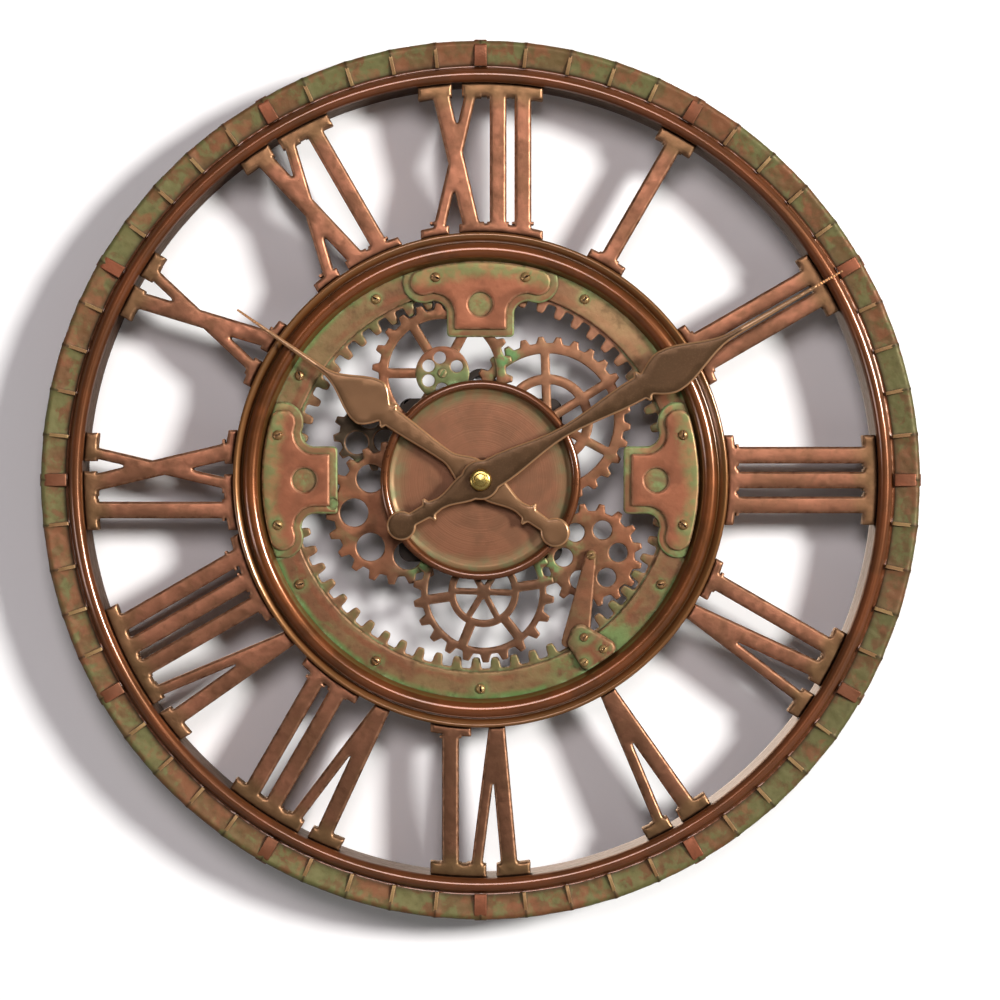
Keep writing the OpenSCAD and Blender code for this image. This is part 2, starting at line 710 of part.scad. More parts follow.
module contact_positive() color(steel) translate([inner_w / 2 - 0.4, bay_y - 4, 2.5]) cube([0.3, 8, 10.5]);
module contact_negative() color(steel) {
    translate([-inner_w / 2 + 0.1, bay_y - 4, 2.5]) cube([0.3, 8, 10.5]);
    translate([-inner_w / 2 + 0.4 - e, bay_y, cell_z]) rotate([0, 90, 0]) difference() {
        cylinder(r = 3.4, h = 1.4);
        translate([0, 0, -1]) cylinder(r = 2.8, h = 4);
    }
}

module battery() color(black) translate([-inner_w / 2 + 1.85, bay_y, cell_z]) rotate([0, 90, 0]) {
    cylinder(r = cell_r, h = cell_len - 1.2);
    cylinder(r = 2.7, h = cell_len);
}

place() outer_rim();
place() minute_ridges();
place() hour_blocks();
place() numeral(1);  // numeral_01
place() numeral(2);  // numeral_02
place() numeral(3);  // numeral_03
place() numeral(4);  // numeral_04
place() numeral(5);  // numeral_05
place() numeral(6);  // numeral_06
place() numeral(7);  // numeral_07
place() numeral(8);  // numeral_08
place() numeral(9);  // numeral_09
place() numeral(10);  // numeral_10
place() numeral(11);  // numeral_11
place() numeral(12);  // numeral_12
place() bezel();
place() ring_gear();
place() bracket_top();
place() bracket_right();
place() bracket_left();
place() bracket_screws();
place() ring_screws();
place() pawl_plate();
place() pawl_lever();
place() pawl_screws();
place() wheel_lower_right();
place() wheel_bottom();
place() wheel_upper_right();
place() wheel_upper_left();
place() wheel_left();
place() wheel_small();
place() pinion_disc();
place() centre_cup();
place() centre_spacer();
place() fixing_washer();
place() fixing_nut();
place() hour_hand();
place() minute_hand();
place() hand_nut();
place() case_front();
place() case_rear();
place() threaded_bush();
place() hour_wheel();
place() minute_arbor();
place() clutch_spring();
place() centre_wheel();
place() third_wheel();
place() seconds_wheel();
place() intermediate_wheel();
place() rotor();
place() setting_wheel();
place() stator();
place() coil();
place() circuit_board();
place() quartz_crystal();
place() chip_cover();
place() contact_positive();
place() contact_negative();
place() battery();
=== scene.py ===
import math

import bpy
import numpy as np
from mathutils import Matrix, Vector, noise
from mathutils.geometry import delaunay_2d_cdt


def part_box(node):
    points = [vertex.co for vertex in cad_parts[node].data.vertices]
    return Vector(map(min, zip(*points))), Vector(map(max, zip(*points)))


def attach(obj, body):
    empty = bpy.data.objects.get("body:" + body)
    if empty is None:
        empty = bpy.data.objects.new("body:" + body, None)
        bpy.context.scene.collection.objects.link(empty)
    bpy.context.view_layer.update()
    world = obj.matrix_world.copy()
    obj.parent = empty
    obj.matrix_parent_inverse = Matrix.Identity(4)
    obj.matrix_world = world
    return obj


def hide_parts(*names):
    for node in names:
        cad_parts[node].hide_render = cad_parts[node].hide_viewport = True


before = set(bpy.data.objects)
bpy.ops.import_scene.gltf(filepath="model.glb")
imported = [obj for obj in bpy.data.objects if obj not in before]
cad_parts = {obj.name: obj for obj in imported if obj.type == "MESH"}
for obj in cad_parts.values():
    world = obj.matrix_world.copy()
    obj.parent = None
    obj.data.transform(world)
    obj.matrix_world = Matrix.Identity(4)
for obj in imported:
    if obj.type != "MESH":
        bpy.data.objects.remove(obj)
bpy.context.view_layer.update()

MM = 0.001

# ---------------------------------------------------------------- places, from the frame

rim_low, rim_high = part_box("outer_rim")
WALL_Y = rim_high.y
CENTRE = Vector(((rim_low.x + rim_high.x) / 2, WALL_Y, (rim_low.z + rim_high.z) / 2))


def span(node):
    """How far a node reaches out of the wall: its back and its front, in millimetres."""
    low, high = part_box(node)
    return (WALL_Y - high.y) / MM, (WALL_Y - low.y) / MM


def radius_of(node):
    """Half a node's width, in millimetres."""
    low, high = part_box(node)
    return (high.x - low.x) / 2 / MM


def spot(x, y, d):
    """A point in millimetres, right, up and out of the wall from the clock's centre, as a place."""
    return Vector((CENTRE.x + x * MM, WALL_Y - d * MM, CENTRE.z + y * MM))


def dial_xy(place):
    """Millimetres right and up from the clock's axis."""
    return (place.x - CENTRE.x) / MM, (place.z - CENTRE.z) / MM


CLOCK_R = round(radius_of("outer_rim"))
BEZEL_R, CUP_R = radius_of("bezel"), radius_of("centre_cup")
BEZEL_BACK, BEZEL_TOP = span("bezel")
RIM_TOP = span("hour_blocks")[1] - 0.8  # the front of the tiles and the bead, below that of the hour blocks


# ---------------------------------------------------------------- stage, camera, lights

FLOOR_DROP = 0.30  # from the rim's lowest point, in metres
STAGE_R = 1.6
WALL_GAP = 0.3 * MM  # between the clock's back and the wall
SEEN_DIRECTLY = 1.5  # ray depths below this are of surfaces that the camera sees itself
VIEW_DISTANCE = 1.30  # from the rim's front, in metres
PHOTO_SPAN = 0.341  # the photograph's width at that distance
SENSOR = 36


def link(obj):
    bpy.context.scene.collection.objects.link(obj)
    return obj


def stage_disc(name, points, colour, bounced, one_sided):
    """A round flat sheet of pale paper, which lights the clock no more than paper of the bounced grey would.
    A one-sided sheet is seen only from its front, and lets light through to what is seen directly."""
    mesh = bpy.data.meshes.new(name)
    mesh.from_pydata(points, [], [tuple(range(len(points)))])
    s = Shader(name + "_paper", PLAIN)
    s.bsdf.inputs["Specular IOR Level"].default_value = 0.1
    path = s.node("ShaderNodeLightPath").outputs
    mesh.materials.append(s.finish(s.mix(path["Is Camera Ray"], (bounced,) * 3, colour), 0.0, 0.95))
    if one_sided:
        lets = s.mul(s.math("LESS_THAN", path["Ray Depth"], SEEN_DIRECTLY), path["Is Shadow Ray"])
        gone = s.math("MAXIMUM", s.node("ShaderNodeNewGeometry").outputs["Backfacing"], lets)
        s.either(gone, s.bsdf, s.node("ShaderNodeBsdfTransparent"), "Material Output")
    link(bpy.data.objects.new(name, mesh))


def make_stage():
    """A round floor below the clock and a round wall behind it."""
    turns = [2 * math.pi * i / 96 for i in range(96)]
    sides = [(STAGE_R * math.cos(a), STAGE_R * math.sin(a)) for a in turns]
    floor_z = rim_low.z - FLOOR_DROP
    stage_disc("floor", [(x, y, floor_z) for x, y in sides], (0.86, 0.86, 0.87), 0.25, False)
    stage_disc("wall", [(x, WALL_Y + WALL_GAP, CENTRE.z + y) for x, y in sides], (0.95, 0.95, 0.955), 0.3, True)


def make_camera():
    """Straight in front of the clock, with the small shift of the photograph's framing."""
    data = bpy.data.cameras.new("camera")
    data.sensor_width = SENSOR
    data.lens = SENSOR * VIEW_DISTANCE / PHOTO_SPAN
    data.shift_x = 0.0195
    data.shift_y = -0.0200
    data.clip_end = 30
    cam = link(bpy.data.objects.new("camera", data))
    cam.location = CENTRE + Vector((0, -RIM_TOP * MM - VIEW_DISTANCE, 0))
    cam.rotation_euler = (math.radians(90), 0, 0)
    bpy.context.scene.camera = cam


def area_light(name, place, size, power, tint):
    """A round soft light at a place from the clock's centre in metres, turned towards the centre."""
    data = bpy.data.lights.new(name, "AREA")
    data.shape = "DISK"
    data.size = size
    data.energy = power
    data.color = tint
    lamp = link(bpy.data.objects.new(name, data))
    lamp.location = CENTRE + Vector(place)
    lamp.rotation_euler = (CENTRE - lamp.location).to_track_quat("-Z", "Y").to_euler()


def make_lights():
    area_light("key_right", (2.06, -2.10, 0.63), 0.65, 111, (1.0, 0.985, 0.96))
    area_light("front_top", (0.0, -2.4, 0.8), 0.9, 20.5, (1.0, 0.90, 0.92))
    area_light("low_left", (-2.2, -0.9, -0.7), 1.2, 16, (0.97, 0.96, 1.0))
    area_light("back_centre", (-0.5, 1.7, 0.45), 0.9, 34, (1.0, 1.0, 1.0))


def make_world():
    """A pale studio: bright where the camera sees it, dim towards the camera's own side of the room."""
    world = bpy.data.worlds.new("studio")
    world.use_nodes = True
    bpy.context.scene.world = world
    s = Nodes(world.node_tree, "Generated")
    seen = s.tree.nodes["Background"]
    seen.inputs["Color"].default_value = (0.96, 0.96, 0.97, 1)
    lit = s.node("ShaderNodeBackground")
    s.put(lit.inputs["Strength"], s.spread(s.place()["Y"], -0.7, 0.1, 0.03, 0.2))
    s.either(s.node("ShaderNodeLightPath").outputs["Is Camera Ray"], lit, seen, "World Output")
    bpy.context.scene.view_settings.view_transform = "Standard"


# ---------------------------------------------------------------- materials

WARM = (1.0, 0.80, 0.62, 1)  # the tint of what shines in copper and in its lacquer
PLAIN = (1, 1, 1, 1)


class Nodes:
    """A node tree, with short calls for the nodes that the materials and the world share."""

    def __init__(self, tree, coords):
        self.tree = tree
        self.coords = self.node("ShaderNodeTexCoord").outputs[coords]

    def put(self, socket, value):
        """Feeds an input from another node's output, or sets its value."""
        if isinstance(value, bpy.types.NodeSocket):
            self.tree.links.new(value, socket)
        elif isinstance(value, tuple) and len(value) == 3 and socket.type == "RGBA":
            socket.default_value = (*value, 1)
        else:
            socket.default_value = value

    def node(self, kind, inputs=None, **settings):
        made = self.tree.nodes.new(kind)
        for key, value in settings.items():
            setattr(made, key, value)
        for key, value in (inputs or {}).items():
            self.put(made.inputs[key], value)
        return made

    def either(self, factor, a, b, output):
        """Shows shader a, or b where factor is 1."""
        made = self.node("ShaderNodeMixShader", {0: factor, 1: a.outputs[0], 2: b.outputs[0]})
        self.put(self.tree.nodes[output].inputs[0], made.outputs[0])

    def noise(self, size_mm, detail=4, rough=0.55, distort=0.0, stretch=None):
        """Noise from 0 to 1 with blotches of a size, narrower along an axis where stretch is above 1."""
        vector = self.coords
        if stretch:
            vector = self.node("ShaderNodeMapping", {"Vector": vector, "Scale": stretch}).outputs[0]
        inputs = {"Vector": vector, "Scale": 1 / (size_mm * MM), "Detail": detail, "Roughness": rough,
                  "Distortion": distort}
        return self.node("ShaderNodeTexNoise", inputs).outputs["Fac"]

    def spread(self, value, low, high, to_low=0.0, to_high=1.0):
        """A smooth step from to_low to to_high, where the value goes from low to high."""
        inputs = {"Value": value, "From Min": low, "From Max": high, "To Min": to_low, "To Max": to_high}
        return self.node("ShaderNodeMapRange", inputs, interpolation_type="SMOOTHSTEP").outputs["Result"]

    def spots(self, size_mm, detail, low, high, *to):
        """Patches of a size: 0 where the noise is below low, 1 where it is above high."""
        return self.spread(self.noise(size_mm, detail), low, high, *to)

    def math(self, operation, a, b=0.0):
        return self.node("ShaderNodeMath", {0: a, 1: b}, operation=operation).outputs[0]

    def mul(self, a, b):
        return self.math("MULTIPLY", a, b)

    def add(self, a, b):
        return self.math("ADD", a, b)

    def sub(self, a, b):
        return self.math("SUBTRACT", a, b)

    def mix(self, factor, a, b):
        return self.node("ShaderNodeMix", {"Factor": factor, "A": a, "B": b}, data_type="RGBA").outputs["Result"]

    def cover(self, mask, share, a, b):
        """b over a, by a share of a mask."""
        return self.mix(self.mul(mask, share), a, b)

    def place(self):
        """The point's place in the frame, as the outputs X, Y and Z."""
        return self.node("ShaderNodeSeparateXYZ", {0: self.coords}).outputs


class Shader(Nodes):
    """A material, with calls that read its surface."""

    def __init__(self, name, shine=WARM):
        self.mat = bpy.data.materials.new(name)
        self.mat.use_nodes = True
        super().__init__(self.mat.node_tree, "Object")
        self.bsdf = self.tree.nodes["Principled BSDF"]
        self.bsdf.inputs["Specular Tint"].default_value = shine

    def hollow(self, reach_mm, low=0.35, high=0.95):
        """1 in corners and hollows, 0 on open faces."""
        made = self.node("ShaderNodeAmbientOcclusion", {"Distance": reach_mm * MM}, samples=8)
        return self.spread(made.outputs["AO"], low, high, 1.0, 0.0)

    def edge(self, reach_mm):
        """1 along edges and corners, 0 on faces."""
        bevel = self.node("ShaderNodeBevel", {"Radius": reach_mm * MM}, samples=4).outputs[0]
        plain = self.node("ShaderNodeNewGeometry").outputs["Normal"]
        dot = self.node("ShaderNodeVectorMath", {0: bevel, 1: plain}, operation="DOT_PRODUCT")
        return self.spread(self.sub(1.0, dot.outputs["Value"]), 0.02, 0.14)

    def depth(self, low_d, high_d):
        """0 at low_d millimetres out of the wall, 1 at high_d."""
        return self.spread(self.place()["Y"], WALL_Y - low_d * MM, WALL_Y - high_d * MM)

    def radius(self, x_mm=0.0, y_mm=0.0):
        """Distance, in metres, from the clock's axis or from a place that far from it."""
        at = self.place()
        x = self.sub(at["X"], CENTRE.x + x_mm * MM)
        z = self.sub(at["Z"], CENTRE.z + y_mm * MM)
        return self.math("SQRT", self.add(self.mul(x, x), self.mul(z, z)))

    def painted(self, layer):
        """A colour layer of the mesh, as a value."""
        return self.node("ShaderNodeAttribute", attribute_name=layer).outputs["Fac"]

    def near(self, spot_at, radius_mm, soft_mm):
        """1 within a distance of a place on the dial, 0 beyond it. The place is in millimetres from the axis."""
        return self.spread(self.radius(*spot_at), (radius_mm - soft_mm) * MM, (radius_mm + soft_mm) * MM, 1.0, 0.0)

    def band(self, value, start, full, last, stop):
        """1 from full to last, 0 outside start and stop, all in millimetres."""
        return self.mul(self.spread(value, start * MM, full * MM), self.spread(value, last * MM, stop * MM, 1.0, 0.0))

    def bump(self, height, strength, distance_mm, under=None):
        """A normal that follows a height, on top of another normal if one is given."""
        inputs = {"Strength": strength, "Distance": distance_mm * MM, "Height": height}
        if under:
            inputs["Normal"] = under
        return self.node("ShaderNodeBump", inputs).outputs[0]

    def coat(self, weight, rough):
        """A thin clear layer, warm where it shines."""
        for name, value in (("Coat Weight", weight), ("Coat Roughness", rough), ("Coat Tint", WARM)):
            self.put(self.bsdf.inputs[name], value)

    def finish(self, colour, metallic, rough, normal=None):
        """The material, with its surface set."""
        for name, value in (("Base Color", colour), ("Metallic", metallic), ("Roughness", rough), ("Normal", normal)):
            if value is not None:
                self.put(self.bsdf.inputs[name], value)
        return self.mat


def srgb(r, g, b):
    """A colour as seen, 0 to 255, as the linear colour that nodes use."""
    def linear(c):
        c = c / 255
        return c / 12.92 if c <= 0.04045 else ((c + 0.055) / 1.055) ** 2.4
    return (linear(r), linear(g), linear(b))


COPPER_WORN = srgb(226, 172, 134)
BROWN = srgb(112, 78, 54)
OLIVE = srgb(112, 100, 66)
UMBER = srgb(44, 26, 14)
VERDIGRIS = srgb(102, 132, 84)
VERDIGRIS_PALE = srgb(146, 172, 122)


def patina(name, body, second, third=None, green=0.3, dark=0.8, worn=0.5, metal=0.5, rough=0.42, tint=None,
           grit=1.0, edges="painted", coat=0.0):
    """Aged copper paint on a casting: body tones in blotches, painted shade in umber in hollows and
    tight corners, green in and beside the hollows, and bright metal where edges are rubbed. tint changes the colour by
    place.
    edges: where a piece's rubbed edges come from, its painted layer or its shape."""
    s = Shader(name)
    blotch = s.noise(15, 4, 0.55, 0.6)
    mottle = s.noise(3.2, 5, 0.6)
    grain = s.noise(0.6, 3, 0.6)
    colour = s.mix(s.spread(blotch, 0.38, 0.62), body, second)
    if third:
        colour = s.mix(s.spread(s.noise(7, 4, 0.55, 0.5), 0.54, 0.68, 0.0, 0.5), colour, third)
    if tint:
        colour = tint(s, colour)
    colour = s.mix(s.spread(mottle, 0.48, 0.80, 0.0, 0.34 * grit), colour, UMBER)
    shade = s.hollow(3.0)
    corner_shade = s.hollow(1.2, 0.3, 0.9)
    patch = s.spread(s.noise(8, 4, 0.6, 0.4), 0.64 - green * 0.35, 0.80 - green * 0.35)
    washed = s.mul(patch, s.spread(s.add(shade, green * 0.5), 0.25, 0.9))
    washed = s.mul(washed, min(1.0, green * 1.8))
    green_tone = s.mix(s.spread(grain, 0.35, 0.7), VERDIGRIS, VERDIGRIS_PALE)
    # painted shade: umber where ambient occlusion finds hollows
    colour = s.cover(shade, dark * 0.5, colour, UMBER)
    colour = s.mix(washed, colour, green_tone)
    halo = s.mul(s.painted("halo"), s.spots(2.5, 3, 0.36, 0.55))
    colour = s.cover(halo, 0.8, colour, srgb(102, 140, 84))
    # painted shade: darker umber in tight corners
    colour = s.cover(corner_shade, dark, colour, UMBER)
    bare = s.painted("rub") if edges == "painted" else s.edge(0.5)
    rub = s.mul(bare, s.spots(2.2, 3, 0.30, 0.62))
    rub = s.mul(rub, s.sub(1.0, s.mul(shade, 0.8)))
    colour = s.cover(rub, worn, colour, COPPER_WORN)
    shine = s.mul(s.sub(1.0, washed), metal)
    dull = s.spread(mottle, 0.3, 0.75, rough - 0.05 * grit, rough + 0.12 * grit)
    normal = s.bump(s.noise(5.0, 3), 0.35 * grit, 0.5)
    normal = s.bump(grain, 0.2 * grit, 0.08, normal)
    if coat:
        s.coat(coat, 0.14)
    return s.finish(colour, shine, dull, normal)


def tile_tint(s, colour):
    """Tiles: each has its own share of green and red, painted shade that darkens the band towards the right, and a
    dark line beside the bead and the ridges.
    """
    own, line = s.painted("tile_tone"), s.painted("tile_line")
    green = s.spread(s.add(s.noise(5, 4, 0.6, 0.4), s.mul(own, 0.22)), 0.56, 0.70)
    colour = s.cover(green, 0.75, colour, srgb(98, 104, 62))
    red = s.noise(6, 3, 0.5, 0.3, (1.1, 0.9, 1.1))
    red = s.spread(s.sub(red, s.mul(own, 0.16)), 0.42, 0.56)
    colour = s.cover(red, 0.6, colour, srgb(130, 78, 52))
    # painted shade: the band darker towards the right and lower right
    right_shade = s.near((150.0, -40.0), 90.0, 60.0)
    colour = s.cover(right_shade, 0.25, colour, srgb(60, 50, 30))
    return s.cover(line, 0.9, colour, srgb(44, 30, 10))


def numeral_tint(s, colour):
    """Numerals: olive-brown towards the rim, and painted shade that darkens them low on the dial."""
    # painted shade: numerals low on the dial darker
    low = s.near((10.0, -150.0), 90.0, 50.0)
    colour = s.cover(low, 0.7, colour, srgb(92, 64, 46))
    outer = s.spread(s.add(s.radius(), s.mul(s.noise(6, 3), 6 * MM)), 128 * MM, 135 * MM)
    return s.cover(outer, 0.6, colour, srgb(108, 88, 56))


def bezel_tint(s, colour):
    """Bezel: the outer lip olive gold, the groove beside it nearly black, the slope by the plate olive brown."""
    r = s.radius()
    lip = s.spread(r, (BEZEL_R - 2.6) * MM, (BEZEL_R - 1.8) * MM)
    colour = s.cover(lip, 0.7, colour, srgb(128, 100, 66))
    groove = s.band(r, BEZEL_R - 4.4, BEZEL_R - 3.4, BEZEL_R - 3.0, BEZEL_R - 2.2)
    colour = s.cover(groove, 0.6, colour, srgb(58, 50, 18))
    seam = s.spread(r, (BEZEL_R - 8.9) * MM, (BEZEL_R - 8.2) * MM, 1.0, 0.0)
    return s.cover(seam, 0.7, colour, srgb(112, 92, 58))


def plate_tint(s, colour):
    """Ring plate: a red-brown band by its inner edge, green where it meets the bezel and at the lower right,
    a painted pool of light at the upper right, and teeth of their own tone, painted lighter and redder at the upper
    right."""
    r = s.add(s.radius(), s.mul(s.sub(s.noise(10, 4), 0.5), 3.0 * MM))
    patchy = s.mul(s.band(r, 66.6, 67.6, 68.6, 70.0), s.spots(16, 3, 0.36, 0.56))
    colour = s.cover(patchy, 0.85, colour, srgb(122, 74, 50))
    outer = s.mul(s.spread(r, 72.2 * MM, 74.4 * MM), s.spots(12, 3, 0.38, 0.58))
    colour = s.cover(outer, 0.85, colour, srgb(86, 126, 68))
    corner = s.mul(s.near((40.0, -60.0), 16.0, 8.0), s.spots(5, 4, 0.34, 0.58))
    colour = s.cover(corner, 0.75, colour, srgb(96, 134, 78))
    # painted light: a pool of light on the plate at the upper right
    bright = s.near((44.0, 52.0), 16.0, 16.0)
    colour = s.cover(bright, 0.5, colour, srgb(176, 140, 100))
    teeth = s.spread(s.radius(), 65.6 * MM, 66.3 * MM, 1.0, 0.0)
    tooth_tone = s.mix(s.spots(9, 3, 0.4, 0.6), srgb(118, 84, 58), srgb(92, 98, 58))
    # painted light: the teeth lighter and redder at the upper right
    tooth_tone = s.mix(s.near((30.0, 56.0), 26.0, 8.0), tooth_tone, srgb(150, 98, 76))
    return s.cover(teeth, 0.75, colour, tooth_tone)


def wheel_tint(s, colour):
    """Wheels: painted shade that darkens them low down, a painted pool of light at the upper right, and green where
    two wheels meet.
    """
    # painted shade: the wheels darker low down
    low = s.near((-4.0, -44.0), 34.0, 14.0)
    colour = s.cover(low, 0.75, colour, srgb(84, 60, 44))
    # painted light: the wheels lighter at the upper right
    high = s.near((32.0, 34.0), 24.0, 14.0)
    colour = s.cover(high, 0.6, colour, srgb(152, 108, 80))
    bright = s.spots(3, 4, 0.36, 0.60)
    for place, radius, share in (((10.0, 41.5), 4.2, 0.9), ((23.0, -30.0), 4.5, 0.7), ((-21.0, -29.0), 4.0, 0.7),
                                 ((7.0, 38.0), 5.0, 0.5), ((31.0, -22.0), 4.0, 0.5)):
        mask = s.mul(s.near(place, radius, 2.0), bright)
        colour = s.cover(mask, share, colour, srgb(92, 138, 84))
    return colour


def disc_tint(s, colour):
    """Pierced disc: red-brown in its upper half, green below."""
    height = s.add(s.place()["Z"], s.mul(s.noise(5, 3), 6 * MM))
    low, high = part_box("pinion_disc")
    middle = (low.z + high.z) / 2
    upper = s.spread(height, middle + 3 * MM, middle + 9 * MM)
    return s.cover(upper, 0.9, colour, srgb(128, 76, 54))


def turned_cup():
    """The cup's finish: copper in the middle, olive and green towards the lip, fine turned rings, and painted shade in
    its hollows.
    """
    s = Shader("turned_cup")
    radius = s.radius()
    wander = s.add(radius, s.mul(s.noise(14, 4), 9 * MM))
    colour = s.mix(s.spread(s.noise(9, 4, 0.55, 0.5), 0.36, 0.66), srgb(130, 86, 62), srgb(114, 77, 55))
    edge_tone = s.mix(s.spots(4, 4, 0.4, 0.65), srgb(128, 104, 72), srgb(106, 116, 80))
    colour = s.mix(s.spread(wander, 29 * MM, 35 * MM, 0.0, 0.8), colour, edge_tone)
    lip = s.spread(radius, (CUP_R - 3.4) * MM, (CUP_R - 2.6) * MM)
    colour = s.mix(lip, colour, srgb(100, 64, 42))
    rings = s.node("ShaderNodeTexNoise", {"W": radius, "Scale": 1 / (0.5 * MM), "Detail": 2}, noise_dimensions="1D")
    turned = s.mul(rings.outputs["Fac"], s.sub(1.0, lip))
    colour = s.mix(s.spread(turned, 0.35, 0.75, 0.0, 0.3), colour, BROWN)
    # painted shade: umber in the cup's hollows
    shade = s.hollow(3.0)
    colour = s.cover(shade, 0.75, colour, UMBER)
    normal = s.bump(turned, 0.5, 0.08)
    normal = s.bump(s.noise(1.1, 3), 0.15, 0.06, normal)
    rough = s.sub(s.spots(4, 3, 0.3, 0.7, 0.38, 0.52), s.mul(lip, 0.12))
    s.coat(lip, 0.12)
    return s.finish(colour, s.spread(lip, 0, 1, 0.4, 0.5), rough, normal)


def two_tone(name, split_d):
    """A bracket: the lower layer green, the upper layer copper-red with green left round its hole and screws, and
    painted shade in its corners.
    """
    s = Shader(name)
    upper = s.depth(split_d - 0.05, split_d + 0.05)
    blotch = s.noise(11, 4, 0.55, 0.5)
    red = s.mix(s.spread(blotch, 0.38, 0.62), srgb(146, 90, 64), srgb(126, 77, 54))
    wing = s.add(s.radius(), s.mul(s.noise(7, 4, 0.55, 0.4), 8 * MM))
    wing = s.spread(wing, 71.5 * MM, 76 * MM)
    tan = s.mix(s.spots(4, 3, 0.4, 0.62), srgb(142, 116, 76), srgb(108, 124, 76))
    red = s.cover(wing, 0.8, red, tan)
    shade = s.hollow(3.0)
    green_tone = s.mix(s.spots(1.6, 3, 0.35, 0.68), srgb(112, 142, 90), srgb(100, 116, 68))
    reach = s.hollow(5.0, 0.35, 1.0)
    washed = s.mul(reach, s.spread(s.noise(6, 4, 0.6, 0.4), 0.42, 0.60))
    washed = s.math("MAXIMUM", washed, s.mul(s.painted("halo"), s.spots(2, 3, 0.34, 0.5)))
    red = s.cover(washed, 0.8, red, green_tone)
    low = s.mix(s.spread(blotch, 0.40, 0.60), green_tone, srgb(110, 92, 60))
    colour = s.mix(upper, low, red)
    # painted shade: umber in the corners
    colour = s.cover(shade, 0.6, colour, UMBER)
    rub = s.mul(s.painted("rub"), s.spots(2.4, 3, 0.30, 0.6))
    colour = s.cover(rub, 0.55, colour, s.mix(upper, srgb(166, 168, 116), COPPER_WORN))
    normal = s.bump(s.noise(4, 3), 0.3, 0.45)
    normal = s.bump(s.noise(0.8, 3), 0.2, 0.08, normal)
    return s.finish(colour, s.spread(upper, 0, 1, 0.2, 0.5), s.spread(blotch, 0.3, 0.7, 0.40, 0.54), normal)


def hand_paint(name, body, second):
    """Satin bronze paint on sheet, its rolled edges painted bright: bare metal and a painted highlight."""
    s = Shader(name)
    colour = s.mix(s.spots(22, 3, 0.35, 0.65), body, second)
    colour = s.mix(s.spots(0.6, 3, 0.45, 0.75, 0, 0.2), colour, srgb(120, 90, 64))
    # bright rolled edges: bare metal and a painted highlight
    colour = s.cover(s.spread(s.painted("rub"), 0.25, 0.8), 0.75, colour, srgb(228, 190, 150))
    normal = s.bump(s.noise(0.35, 2), 0.12, 0.03)
    s.coat(s.mul(s.painted("rub"), 0.9), 0.15)
    return s.finish(colour, 0.6, s.spots(5, 3, 0.3, 0.7, 0.30, 0.38), normal)


def metal(name, colour, rough, scratch=0.2, metallic=1.0):
    """Brushed metal, a little darker in blotches, with painted shade in its corners."""
    s = Shader(name)
    tone = s.mix(s.spots(1.6, 4, 0.35, 0.7, 0, 0.35), colour, tuple(c * 0.6 for c in colour))
    # painted shade: darker in corners
    tone = s.cover(s.hollow(1.0), 0.6, tone, tuple(c * 0.25 for c in colour))
    brushed = s.noise(0.25, 2, 0.5, 0, (1, 12, 12))
    return s.finish(tone, metallic, s.spread(brushed, 0.2, 0.8, rough - 0.06, rough + 0.1),
                    s.bump(brushed, scratch, 0.02))


def plastic(name, colour, rough, texture=0.25):
    """Moulded plastic with a fine texture and slightly lighter edges."""
    s = Shader(name)
    tone = s.mix(s.spots(12, 3, 0.3, 0.7, 0, 0.2), colour, tuple(min(1, c * 1.6 + 0.01) for c in colour))
    tone = s.cover(s.edge(0.35), 0.35, tone, tuple(min(1, c * 2.2 + 0.03) for c in colour))
    grain = s.noise(0.35, 2)
    return s.finish(tone, 0.0, s.spread(grain, 0.3, 0.7, rough - 0.05, rough + 0.08), s.bump(grain, texture, 0.04))


def cell_sleeve():
    """The cell's plain sleeve: black with a copper-coloured end band, bare steel ends."""
    s = Shader("cell_sleeve")
    low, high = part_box("battery")
    x = s.place()["X"]
    band = s.math("GREATER_THAN", x, high.x - 14 * MM)
    ends = s.math("MAXIMUM", s.math("LESS_THAN", x, low.x + 0.5 * MM), s.math("GREATER_THAN", x, high.x - 2.0 * MM))
    tone = s.mix(s.spots(8, 3, 0.3, 0.7, 0, 0.3), srgb(26, 26, 30), srgb(52, 52, 58))
    tone = s.mix(band, tone, srgb(190, 128, 70))
    tone = s.mix(ends, tone, srgb(200, 200, 204))
    return s.finish(tone, s.spread(s.add(ends, s.mul(band, 0.6)), 0, 1), 0.3,
                    s.bump(s.noise(0.5, 2), 0.1, 0.03))


# ---------------------------------------------------------------- shapes


def arc(r, d, radius, start, stop, n, tall=None):
    """Points of an arc in the section plane, angles in degrees from the outward direction.
    tall is its half height, where that isn't its radius."""
    turns = [math.radians(start + (stop - start) * i / n) for i in range(n + 1)]
    return [(r + radius * math.cos(a), d + (tall or radius) * math.sin(a)) for a in turns]


def finished(name, verts, faces, layers):
    """A smooth object with its colour layers, given as one value for each vertex."""
    mesh = bpy.data.meshes.new(name)
    mesh.from_pydata(verts, [], faces)
    mesh.polygons.foreach_set("use_smooth", [True] * len(mesh.polygons))
    for layer, amounts in layers.items():
        values = [v for r in amounts for v in (r, r, r, 1.0)]
        mesh.color_attributes.new(layer, "FLOAT_COLOR", "POINT").data.foreach_set("color", values)
    mesh.update()
    return link(bpy.data.objects.new(name, mesh))


